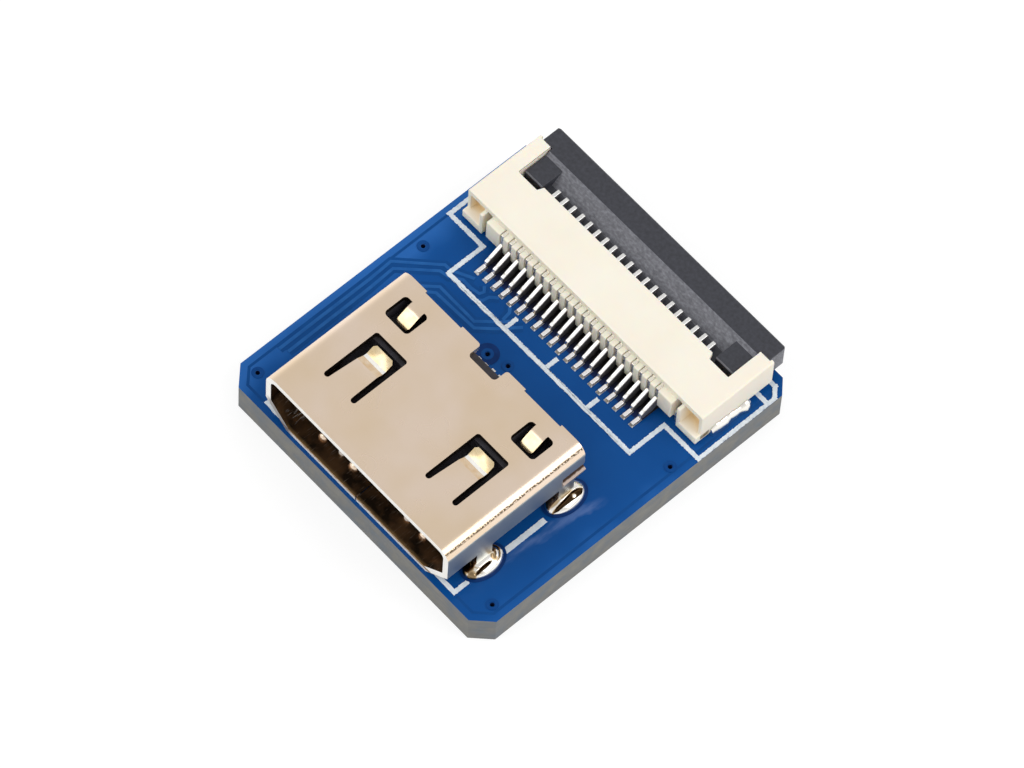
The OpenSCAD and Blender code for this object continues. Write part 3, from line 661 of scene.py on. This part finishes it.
def finished(piece, slot, *nodes, body="adapter"):
    """Hands a piece over to the body it moves with, in place of its CAD nodes."""
    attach(piece, body)
    if nodes:
        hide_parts(*nodes)


# Geometry Nodes: a row of one stamped piece, and strips that follow lines on the board

def tree_with(name, inputs, output):
    """A Geometry Nodes tree with named inputs and one output, and the two nodes at its ends."""
    tree = bpy.data.node_groups.new(name, "GeometryNodeTree")
    for label, kind in inputs:
        tree.interface.new_socket(label, in_out="INPUT", socket_type="NodeSocket" + kind)
    tree.interface.new_socket(output, in_out="OUTPUT", socket_type="NodeSocketGeometry")
    return tree, tree.nodes.new("NodeGroupInput").outputs, tree.nodes.new("NodeGroupOutput").inputs


def joined_up(tree, pairs):
    for output, socket in pairs:
        tree.links.new(output, socket)
    return tree


def ended(tree, made, start, end):
    """Ends a tree in real geometry with the material of its Finish input."""
    real = tree.nodes.new("GeometryNodeRealizeInstances")
    finish = tree.nodes.new("GeometryNodeSetMaterial")
    return joined_up(tree, ((made, real.inputs[0]), (real.outputs[0], finish.inputs["Geometry"]),
                            (start["Finish"], finish.inputs["Material"]), (finish.outputs[0], end[0])))


def row_tree():
    """Sets copies of one piece in a row along X."""
    inputs = (("Piece", "Geometry"), ("Count", "Int"), ("Pitch", "Float"), ("Finish", "Material"))
    tree, start, end = tree_with("row_of_one_piece", inputs, "Row")
    step = tree.nodes.new("ShaderNodeCombineXYZ")
    line = tree.nodes.new("GeometryNodeMeshLine")
    line.mode = "OFFSET"
    place = tree.nodes.new("GeometryNodeInstanceOnPoints")
    joined_up(tree, ((start["Pitch"], step.inputs["X"]), (step.outputs[0], line.inputs["Offset"]),
                     (start["Count"], line.inputs["Count"]), (line.outputs[0], place.inputs["Points"]),
                     (start["Piece"], place.inputs["Instance"])))
    return ended(tree, place.outputs[0], start, end)


def strip_tree():
    """Sweeps a flat bar with slanted sides along each line."""
    inputs = (("Lines", "Geometry"), ("Width", "Float"), ("Height", "Float"), ("Finish", "Material"))
    tree, start, end = tree_with("strip_along_lines", inputs, "Strips")

    def times(value, share):
        made = tree.nodes.new("ShaderNodeMath")
        made.operation = "MULTIPLY"
        made.inputs[1].default_value = share
        tree.links.new(value, made.inputs[0])
        return made.outputs[0]

    upright = tree.nodes.new("GeometryNodeSetCurveNormal")
    upright.mode = "Z_UP"
    bar = tree.nodes.new("GeometryNodeCurvePrimitiveQuadrilateral")
    bar.mode = "TRAPEZOID"
    bar.inputs["Offset"].default_value = 0
    sweep = tree.nodes.new("GeometryNodeCurveToMesh")
    sweep.inputs["Fill Caps"].default_value = True
    joined_up(tree, ((start["Lines"], upright.inputs["Curve"]), (upright.outputs[0], sweep.inputs["Curve"]),
                     (start["Width"], bar.inputs["Bottom Width"]),
                     (times(start["Width"], 0.8), bar.inputs["Top Width"]),
                     (times(start["Height"], 2.0), bar.inputs["Height"]),
                     (bar.outputs[0], sweep.inputs["Profile Curve"])))
    return ended(tree, sweep.outputs[0], start, end)


ROW, STRIP = row_tree(), strip_tree()


def run_through(thing, tree, **values):
    """Puts a node tree on a mesh or curve, with values for its inputs."""
    maker = thing.modifiers.new(tree.name, "NODES")
    maker.node_group = tree
    sockets = {item.name: item.identifier for item in tree.interface.items_tree}
    for name, value in values.items():
        maker[sockets[name]] = value


def set_in_row(contact, prefix, count, material):
    """Repeats one contact along its row, at the pitch of the CAD nodes."""
    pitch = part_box(prefix + "_02")[0].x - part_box(prefix + "_01")[0].x
    run_through(contact, ROW, Count=count, Pitch=pitch, Finish=material)
    settled(contact)


def node_row(prefix, count):
    return [f"{prefix}_{index:02d}" for index in range(1, count + 1)]


def lacquer_strips(name, lines, width_mm, height_mm, material, looped=False):
    """Flat strips in the lacquer along lines of (x, y) points, each line a micron above the last."""
    data = bpy.data.curves.new(name + "_lines", "CURVE")
    data.dimensions = "3D"
    for index, points in enumerate(lines):
        spline = data.splines.new("POLY")
        spline.points.add(len(points) - 1)
        spline.use_cyclic_u = looped
        for point, (x, y) in zip(spline.points, points):
            point.co = (x * MM, y * MM, (BOARD_TOP + 0.001 * index) * MM, 1)
    guide = new_piece(name + "_lines", data)
    run_through(guide, STRIP, Width=width_mm * MM, Height=height_mm * MM, Finish=material)
    made = evaluated_mesh(guide)
    bpy.data.objects.remove(guide)
    made.name = name
    work = opened(made)
    bmesh.ops.recalc_face_normals(work, faces=work.faces)
    for face in work.faces:
        face.smooth = False
    finished(new_piece(name, closed(work, made)), "solder_mask")


def circle(x, y, radius, steps=28):
    angles = [math.tau * k / steps for k in range(steps)]
    return [(x + radius * math.cos(angle), y + radius * math.sin(angle)) for angle in angles]


# The board

def dress_board():
    board = merged_copy("board", "board_with_lacquer", BLUE, LAMINATE, HOLE_SHADE)

    def finish(centre, normal):
        past_x, past_y = abs(centre.x) - BOARD_W / 2, abs(centre.y) - BOARD_L / 2
        if abs(normal.z) > 0.5:
            return BLUE
        on_edge = max(past_x, past_y) > -0.01
        # the walls of the holes get the painted shade
        return LAMINATE if on_edge or min(past_x, past_y) > -0.9 else HOLE_SHADE

    def width(a, b):
        if max(abs(a.x) / (BOARD_W / 2), abs(a.y) / (BOARD_L / 2)) <= 0.998:
            return 0.1
        return 1.0 if abs(a.z - b.z) > 1 else 0.25

    finished(rounded(painted(board, finish), 0.14, 3, 30, width), "solder_mask", "board")


def dress_lacquer():
    """The tracks, gaps and hole rings that show through the lacquer, and the strips of painted shade and
    shadow on it. Each kind has a height of its own.
    """
    edge_in = 0.36
    w, l = BOARD_W / 2 - edge_in, BOARD_L / 2 - edge_in
    front_cut, rear_cut = 0.75, 0.6
    front, rear = front_cut - edge_in * 0.4, rear_cut - edge_in * 0.4
    border = [(-w, -l + front), (-w + front, -l), (w - front, -l), (w, -l + front),
              (w, l - rear), (w - rear, l), (-w + rear, l), (-w, l - rear)]
    lacquer_strips("lacquer_border", [border], 0.13, 0.005, GAP, looped=True)
    tracks = [
        [(-7.36, -6.2), (-7.38, -1.16), (-7.43, 0.05), (-5.83, 1.64), (-5.52, 1.64), (-4.52, 2.14)],
        [(-7.02, -6.0), (-7.06, -1.45), (-7.12, -0.11), (-5.75, 1.29), (-5.3, 1.38), (-4.8, 1.73),
         (-4.3, 1.72), (-3.88, 1.8), (-3.8, 2.0), (-4.0, 2.2)],
        [(-5.95, 0.0), (-5.56, 0.39), (-5.19, 0.78), (-3.04, 0.76), (-2.24, 1.65), (-1.9, 2.1)],
        [(-5.7, -0.1), (-5.34, 0.25), (-5.08, 0.47), (-2.81, 0.55), (-2.21, 1.18), (-1.5, 2.1)],
        [(-3.9, 1.35), (-3.54, 1.7), (-3.48, 2.0), (-3.18, 2.28)],
        [(-2.62, 2.4), (-2.38, 2.14), (-2.31, 1.7)],
    ]
    lacquer_strips("lacquer_gaps", tracks, 0.44, 0.007, GAP)
    lacquer_strips("lacquer_tracks", tracks, 0.15, 0.015, TRACK)
    lacquer_strips("hole_rings", [circle(x, y, 0.2) for x, y in VIAS], 0.14, 0.023, RING, looped=True)
    lacquer_strips("wide_hole_ring", [circle(*VIAS[4], 0.32)], 0.4, 0.022, DARK_RING_AND_SHADOW, looped=True)
    # painted shadow: a dark ring in the lacquer round each solder bean
    shadow_rings = []
    for place in LEGS:
        low, high = box_mm("leg_solder_" + place)
        x, y = (low.x + high.x) / 2, (low.y + high.y) / 2
        wide, long = (high.x - low.x) / 2 + 0.05, (high.y - low.y) / 2 + 0.05
        shadow_rings.append([(x + wide * out, y + long * along) for out, along in circle(0, 0, 1, 48)])
    lacquer_strips("painted_shadow_round_solder_pads", shadow_rings, 0.14, 0.03, DARK_RING_AND_SHADOW, looped=True)
    # painted shade: a dark strip on the board under the ribbon contacts
    half_pitch, short_by = 0.25, 0.12
    reach, shade_y = RIBBON_PINS * half_pitch - short_by, HOUSING_LOW.y - 0.1
    shade_strip = [(RIBBON_X - reach, shade_y), (RIBBON_X + reach, shade_y)]
    lacquer_strips("painted_shade_strip_under_contacts", [shade_strip], 1.7, 0.0225, CONTACT_SHADE)


# The socket

def dress_shell():
    shell = merged_copy("socket_shell", "socket_shell_of_folded_sheet",
                        SHEET, TIP, BEND_SHADE, PALE_EDGE_AND_HIGHLIGHT, INNER_SHADE, WINDOW_WALL_SHADE, SIDE_SHEET, LIP)
    mouth = SHELL_LOW.y + 0.02
    finger, tab, window = (2.3, 3.9, -5.3, -4.0), (3.3, 4.3, -2.9, -2.1), (2.1, 4.7, -6.9, -1.75)
    fold = (2.3, 3.9, -4.82, -4.74)

    def width(a, b):
        return 1.0 if a.y < mouth and b.y < mouth else 0.3

    def finish(centre, normal):
        across, y, dip = abs(centre.x), centre.y, SHELL_HIGH.z - centre.z
        bent_down = lies_in(finger, across, y) or lies_in(tab, across, y)
        # the bent-down fingers and tabs: painted highlight on the fold, painted deeper gold on the slope
        # before it
        if bent_down and normal.z > 0.2 and dip > 0.03 and centre.z > BOARD_TOP + 2:
            if lies_in(fold, across, y):
                return PALE_EDGE_AND_HIGHLIGHT
            return BEND_SHADE if normal.y > 0.25 else TIP
        if y < mouth + 0.1 and normal.y < -0.3:
            return PALE_EDGE_AND_HIGHLIGHT
        in_slit = across > SHELL_HALF - 0.29 and y > SLIT_FRONT and abs(centre.z - SLIT_LOW) < 0.45
        if in_slit and (across > SHELL_HALF + 0.01 or abs(normal.x) < 0.8):
            return LIP
        # the side walls get the greyer sheet, painted as a reflection
        if normal.x * centre.x > 0 and abs(normal.x) > 0.9 and across > SHELL_HALF - 0.02:
            return SIDE_SHEET
        if centre.x < 0 and normal.x < -0.8 and normal.z > 0.1 and dip < 0.4:
            return PALE_EDGE_AND_HIGHLIGHT
        # the windows' cut walls get the painted shade
        if lies_in(window, across, y) and abs(normal.z) < 0.25 and dip < SHEET_T:
            return WINDOW_WALL_SHADE
        # the inside of the shell gets the painted dark sheet
        under_top = dip > SHEET_T - 0.02 and centre.z > SHELL_FLOOR - 0.02
        inside = under_top and across < SHELL_HALF - SHEET_T + 0.02
        return INNER_SHADE if inside or across > SHELL_HALF + 0.03 else SHEET

    rounded(shell, 0.14, 3, 28, width)
    finished(painted(shell, finish), "shell_metal", "socket_shell")


def dress_socket_inside():
    block = merged_copy("socket_insulator", "socket_moulding", BLACK)
    finished(rounded(block, 0.03, 1, 40), "black_plastic", "socket_insulator")
    contact = rounded(merged_copy("socket_contact_01", "socket_contact_row", GOLD), 0.02, 1, 40)
    set_in_row(contact, "socket_contact", SOCKET_PINS, GOLD)
    finished(contact, "gold_contact", *node_row("socket_contact", SOCKET_PINS))


def dress_mouth_springs():
    """The tips of the springs in the mouth's floor; the two brightest are given the pale edge metal as
    painted highlights.
    """
    # the bright tips take the pale edge metal as a painted highlight
    bright, duller = 1, 0
    tips = ((-1.88, -7.56, 0.17, 0.36, bright), (-2.93, -7.66, 0.25, 0.3, duller),
            (-1.08, -7.62, 0.27, 0.3, duller), (2.13, -7.54, 0.18, 0.36, bright),
            (3.17, -7.6, 0.24, 0.3, duller))
    levels, sunk = 8, 0.02
    work = bmesh.new()
    for x, y, radius, height, shine in tips:
        rows = []
        for k in range(levels):
            tilt = math.pi / 2 * k / levels
            up = SHELL_FLOOR + height * math.sin(tilt) - sunk
            rows.append([work.verts.new(Vector((x + at_x, y + 0.8 * at_y, up)) * MM)
                         for at_x, at_y in circle(0, 0, radius * math.cos(tilt), 24)])
        for face in skinned(work, rows) + [work.faces.new(rows[-1]), work.faces.new(rows[0][::-1])]:
            face.smooth = True
            face.material_index = shine
    finished(turned_out(work, "mouth_spring_tips", SHEET, PALE_EDGE_AND_HIGHLIGHT), "shell_metal")


# Solder

def between(points, at):
    """Values read off a line of (place, value, ...) points, evenly between them."""
    for before, after in zip(points, points[1:]):
        if before[0] <= at <= after[0]:
            share = (at - before[0]) / (after[0] - before[0])
            return [a + (b - a) * share for a, b in zip(before[1:], after[1:])]
    return None


def solder_mound(name, node, seed, slit, dark_patches, ripples):
    """A bean of solder round a leg, with a slit along it between two bright lips.

    Across and along the bean everything is a share of its half size: slit is a line of (along, inner lip,
    outer lip), the patches are brown (out, along, half width, half length, depth), soldering residue and
    painted dark reflection, of which one with a depth below 0 is a clean patch left as a painted glint, and
    ripples is how strongly each end, first and last, is ringed; the ripples' troughs are painted dark as
    reflections.
    """
    low, high = box_mm(node)
    middle = (low + high) / 2
    half_w, half_l = (high.x - low.x) / 2, (high.y - low.y) / 2
    rise = high.z - BOARD_TOP
    side = 1 if middle.x > 0 else -1
    around, loops_count = 112, 44

    def opening(out, along):
        """How deep in the slit a point lies, from 0 at its lips to 1."""
        lips = between(slit, along)
        return max(0.0, min(1.0, min(out - lips[0], lips[1] - out) / 0.09)) if lips else 0.0

    def ring(out, along):
        """The ripples that run round an end, from -1 to 1, strongest at the end itself."""
        reach = math.hypot(out, along)
        strength = ripples[1 if along > 0 else 0] * min(1, max(0, abs(along) - 0.3) * 3)
        return math.cos(25 * reach + seed) * strength * min(1, (1.02 - reach) * 6)

    def height(out, along):
        crown = (1 - min(1.0, out * out + abs(along) ** 2.3)) ** 0.5 * (1 - 0.2 * max(out, 0))
        wobble = noise.noise(Vector((out * 1.6, along * 1.6, seed * 7.3))) * 0.07
        return max(0.0, crown * (1 + wobble) * (1 - 0.4 * opening(out, along)) + 0.06 * ring(out, along))

    def flux_and_reflection_at(out, along):
        # painted dark reflections deep in the slit and in the ripples' troughs, brown patches of residue and
        # painted reflection, and a clean patch left as a painted glint
        deep = 0.95 * opening(out, along) ** 0.5
        wander = noise.noise(Vector((out * 4, along * 4, seed * 3.1))) * 0.35
        for at_out, at_along, wide, long, depth in dark_patches:
            away = math.hypot((out - at_out) / wide, (along - at_along) / long) + wander
            if depth > 0:
                deep = max(deep, depth * min(1, max(0, 1.15 - away) * 2))
            else:
                deep *= min(1, max(0, away - 0.6) * 3)
        return max(deep, 0.75 * max(0, -ring(out, along)))

    work = bmesh.new()
    flux_and_reflection = work.verts.layers.float.new("flux_and_reflection")

    def point(out, along, up):
        made = work.verts.new(Vector((middle.x + side * half_w * out, middle.y + half_l * along,
                                      BOARD_TOP + rise * up)) * MM)
        made[flux_and_reflection] = flux_and_reflection_at(out, along)
        return made

    loops = []
    for k in range(loops_count):
        share = 1 - (k / loops_count) ** 1.3
        loops.append([point(out, along, height(out, along) if k else 0.0)
                      for out, along in circle(0, 0, share, around)])
    top = point(0, 0, height(0, 0))
    skinned(work, loops)
    for j in range(around):
        work.faces.new((loops[-1][j], loops[-1][(j + 1) % around], top))
    for face in work.faces:
        face.smooth = True
    work.faces.new(loops[0][::-1])
    return turned_out(work, name, SOLDER)


def dress_leg_solder():
    front_slit = [(-0.8, 0.52, 0.54), (-0.6, 0.4, 0.6), (-0.2, 0.35, 0.63), (0.1, 0.36, 0.58),
                  (0.2, 0.45, 0.5)]
    rear_slit = [(-1.0, 0.36, 0.38), (-0.7, 0.3, 0.58), (-0.2, 0.26, 0.64), (0.3, 0.15, 0.66),
                 (0.6, 0.18, 0.63), (0.74, 0.26, 0.46), (0.8, 0.3, 0.34)]
    front_dark_patches = [(-0.3, -0.75, 0.5, 0.42, 0.75), (0.35, -0.85, 0.3, 0.2, 0.6),
                    (0.35, 0.38, 0.3, 0.14, 0.5), (-0.4, 0.2, 0.3, 0.4, 0.6)]
    # the last rear patch is clean: a painted glint in the slit
    rear_dark_patches = [(0.12, -0.6, 0.12, 0.3, 0.35), (0.12, 0.0, 0.1, 0.35, 0.35), (0.39, 0.3, 0.16, 0.13, -1)]
    front, rear = (front_slit, front_dark_patches, (0.6, 1.0)), (rear_slit, rear_dark_patches, (0, 0))
    for seed, (place, look) in enumerate(zip(LEGS, (front, front, rear, rear)), 1):
        bean = solder_mound("leg_solder_bean_" + place, "leg_solder_" + place, seed, *look)
        finished(bean, "solder", "leg_solder_" + place)


def solder_run(name, side):
    """The lumps of solder in the corner between the board and the housing's wall beside a fitting."""
    # place along the board, then how far out and how far up the run reaches there
    lumps = [(4.5, 0.02, 0.1), (4.58, 0.17, 0.5), (4.85, 0.2, 0.56), (5.15, 0.22, 0.5), (5.4, 0.24, 0.58),
             (5.65, 0.18, 0.48), (5.95, 0.2, 0.46), (6.2, 0.2, 0.44), (6.45, 0.28, 0.5), (6.62, 0.26, 0.46),
             (6.78, 0.2, 0.3), (6.85, 0.02, 0.06)]
    wall = (HOUSING_HIGH.x if side > 0 else HOUSING_LOW.x) + side * 0.01
    work = bmesh.new()
    rows = []
    steps, spokes = 70, 14
    for k in range(steps + 1):
        y = lumps[0][0] + (lumps[-1][0] - lumps[0][0]) * k / steps
        wide, high = between(lumps, y)
        wide *= 1 + 0.15 * noise.noise(Vector((y * 2.5, side, 0.3)))
        high *= 1 + 0.12 * noise.noise(Vector((y * 2.5, side, 5.1)))
        angles = [math.pi / 2 * j / spokes for j in range(spokes + 1)]
        bulge = [(wide * math.cos(angle), high * math.sin(angle)) for angle in angles]
        row = [work.verts.new(Vector((wall + side * out, y, BOARD_TOP + up)) * MM) for out, up in bulge]
        rows.append([work.verts.new(Vector((wall, y, BOARD_TOP)) * MM)] + row)
    for index, face in enumerate(skinned(work, rows)):
        face.smooth = 0 < index % (spokes + 2) < spokes + 1
    work.faces.new(rows[0])
    work.faces.new(rows[-1][::-1])
    return turned_out(work, name, SOLDER)


def dress_fitting_solder():
    for place, side in (("left", -1), ("right", 1)):
        finished(solder_run("fitting_solder_" + place, side), "solder", "nail_solder_" + place)


# The ribbon connector

def dress_housing():
    housing = merged_copy("ribbon_housing", "ribbon_connector_housing", IVORY, RECESS_SHADE, SHADE)
    comb_front, comb_half = HOUSING_LOW.y + 0.01, (HOUSING_HIGH.x - HOUSING_LOW.x) / 2 - 1.6
    # out from the middle and up from the board
    recess, recess_deep, recess_wall = (6.12, 7.1, 0.55, 1.69), 0.8, 0.3
    arm_out, arm_front, arm_up = 6, 6.2, 1.4

    def width(a, b):
        on_nose = max(a.y, b.y) < comb_front and min(a.z, b.z) > BOARD_TOP + 1.5
        return 1.0 if on_nose and abs(a.x - RIBBON_X) < comb_half + 0.1 else 0.42

    def finish(centre, normal):
        out, up = abs(centre.x - RIBBON_X), centre.z - BOARD_TOP
        inward = normal.x * (centre.x - RIBBON_X) < 0 and abs(normal.x) > 0.4
        if inward and out > arm_out and centre.y > arm_front and up > arm_up:
            return SHADE
        # faces in the corner recesses get the painted shade
        in_recess = lies_in(recess, out, up) and centre.y < HOUSING_LOW.y + recess_deep
        back_wall = normal.y < -0.5 and centre.y > HOUSING_LOW.y + recess_wall
        return RECESS_SHADE if in_recess and (back_wall or abs(normal.x) > 0.5 or normal.z > 0.5) else IVORY

    rounded(housing, 0.12, 3, 35, width)
    finished(painted(housing, finish), "cream_plastic", "ribbon_housing")


def dress_slider():
    slider = merged_copy("ribbon_slider", "ribbon_connector_slider", CHARCOAL, BEVEL_HIGHLIGHT)
    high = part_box("ribbon_slider")[1]
    end, top = high.x / MM - 0.01, high.z / MM - 0.01
    bevel_low, rear_part = BOARD_TOP + 0.9, 8

    def width(a, b):
        on_end = min(abs(a.x - RIBBON_X), abs(b.x - RIBBON_X)) > end - RIBBON_X and min(a.z, b.z) > top
        return 1.0 if on_end else 0.4

    def finish(centre, normal):
        # the bevel and the bar's end faces get the painted highlight
        on_bevel = normal.y < -0.4 and normal.z > 0.3 and centre.z > bevel_low
        return BEVEL_HIGHLIGHT if on_bevel or abs(normal.x) > 0.9 and centre.y > rear_part else CHARCOAL

    rounded(slider, 0.11, 2, 25, width)
    finished(painted(slider, finish), "charcoal_plastic", "ribbon_slider", body="slider")


def dress_ribbon_contacts():
    contact = rounded(merged_copy("ribbon_contact_01", "ribbon_contact_row", TIN), 0.025, 2, 30)
    beam_low = BOARD_TOP + 1.45

    # the contacts' lower side faces, which get the painted shade
    def sheared(face):
        return abs(face.normal.x) > 0.8 and face.calc_center_median().z / MM < beam_low

    tin, sides = split_in_two(contact, sheared)
    set_in_row(tin, "ribbon_contact", RIBBON_PINS, TIN)
    set_in_row(sides, "ribbon_contact", RIBBON_PINS, SIDE)
    finished(joined(tin, sides), "tin_contact", *node_row("ribbon_contact", RIBBON_PINS))


def dress_kept_nodes():
    """CAD nodes whose shape is right, with their own finish."""
    kept = {"socket_contact_solder": DULL_SOLDER, "ribbon_contact_solder": DULL_SOLDER,
            "fitting_nail_left": TIN, "fitting_nail_right": TIN}
    for node, material in kept.items():
        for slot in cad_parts[node].material_slots:
            slot.material = material


def dress_print():
    """The ink's ragged edges. The two lines beside the shell stand 0.06 mm nearer to it than in the CAD."""
    ink = merged_copy("silkscreen", "printed_outlines", INK)
    beside_shell, nearer = (5.58, 5.76, -5.7, -2.9), 0.06
    for corner in ink.data.vertices:
        across, y = abs(corner.co.x) / MM, corner.co.y / MM
        if lies_in(beside_shell, across, y):
            corner.co.x *= 1 - nearer / across
    roughened(ink, step_mm=0.05, push_mm=0.035, grain_mm=0.045)
    for corner in ink.data.vertices:
        corner.co.x = max(-BOARD_W / 2 * MM, min(BOARD_W / 2 * MM, corner.co.x))
    finished(ink, "print_ink", "silkscreen")


# The room: a pale floor, a soft sky and two soft boxes

def make_floor():
    """A pale floor. The camera and mirrors see it glow a little, so that its shadows stay soft."""
    half = 0.6
    data = bpy.data.meshes.new("floor")
    corners = [(-half, -half, 0), (half, -half, 0), (half, half, 0), (-half, half, 0)]
    data.from_pydata(corners, [], [(0, 1, 2, 3)])
    made = Finish("pale_floor", (0.6, 0.6, 0.6, 1), 0.9, gloss=0.0)
    made.put("Base Color", made.mottle(2.0, (0.595, 0.595, 0.595, 1), (0.605, 0.605, 0.605, 1)))
    seen = made.node("LightPath").outputs
    mirrored = made.maths("MAXIMUM", seen["Is Glossy Ray"], seen["Is Transmission Ray"])
    direct = made.maths("MAXIMUM", seen["Is Camera Ray"], mirrored)
    plain = made.shader.outputs[0]
    black = made.node("BsdfDiffuse", Color=(0.0, 0.0, 0.0, 1)).outputs[0]
    glow = made.node("Emission", Color=(1, 1, 1, 1), Strength=0.76).outputs[0]

    def shader(kind, *parts):
        mixed = made.node(kind)
        for socket, part in zip(mixed.inputs, parts):
            made.feed(socket, part)
        return mixed.outputs[0]

    half_tone = shader("MixShader", 0.5, plain, black)
    lifted = shader("AddShader", half_tone, glow)
    final = shader("MixShader", direct, plain, lifted)
    made.feed(made.tree.nodes["Material Output"].inputs["Surface"], final)
    new_piece("floor", data, made.material)


def make_sky():
    """A grey sky, brighter towards the horizon."""
    world = bpy.data.worlds.new("studio")
    bpy.context.scene.world = world
    world.use_nodes = True
    tree = world.node_tree
    tree.nodes.clear()
    place, parts, ramp, sky, out = (tree.nodes.new("ShaderNode" + kind) for kind in (
        "TexCoord", "SeparateXYZ", "ValToRGB", "Background", "OutputWorld"))
    levels = ((0.0, 1.05), (0.15, 0.98), (0.5, 0.79), (0.8, 0.72), (1.0, 0.72))
    set_stops(ramp.color_ramp, [(at, (level, level, level, 1)) for at, level in levels])
    joined_up(tree, ((place.outputs["Generated"], parts.inputs[0]), (parts.outputs["Z"], ramp.inputs[0]),
                     (ramp.outputs[0], sky.inputs["Color"]), (sky.outputs[0], out.inputs[0])))


def soft_box(name, azimuth, elevation, width, height, radiance, distance=0.5):
    """A flat lamp aimed at the board. Azimuth 0 is +X and 90 is +Y; radiance 1 shows white in a mirror."""
    data = bpy.data.lights.new(name, "AREA")
    data.shape = "RECTANGLE"
    data.size, data.size_y = width, height
    data.energy = radiance * math.pi * width * height
    lamp = new_piece(name, data)
    a, e = math.radians(azimuth), math.radians(elevation)
    lamp.location = Vector((math.cos(a) * math.cos(e), math.sin(a) * math.cos(e), math.sin(e))) * distance
    lamp.rotation_euler = (-lamp.location).to_track_quat("-Z", "Y").to_euler()


def light_studio():
    make_floor()
    make_sky()
    soft_box("soft_box_right", 30, 44, 0.36, 0.4, 1.6)
    soft_box("soft_box_left", -120, 46, 0.3, 0.36, 1.25)
    bpy.context.scene.view_settings.view_transform = "Standard"


dress_board()
dress_lacquer()
dress_shell()
dress_socket_inside()
dress_leg_solder()
dress_mouth_springs()
dress_housing()
dress_slider()
dress_ribbon_contacts()
dress_kept_nodes()
dress_print()
dress_fitting_solder()
light_studio()
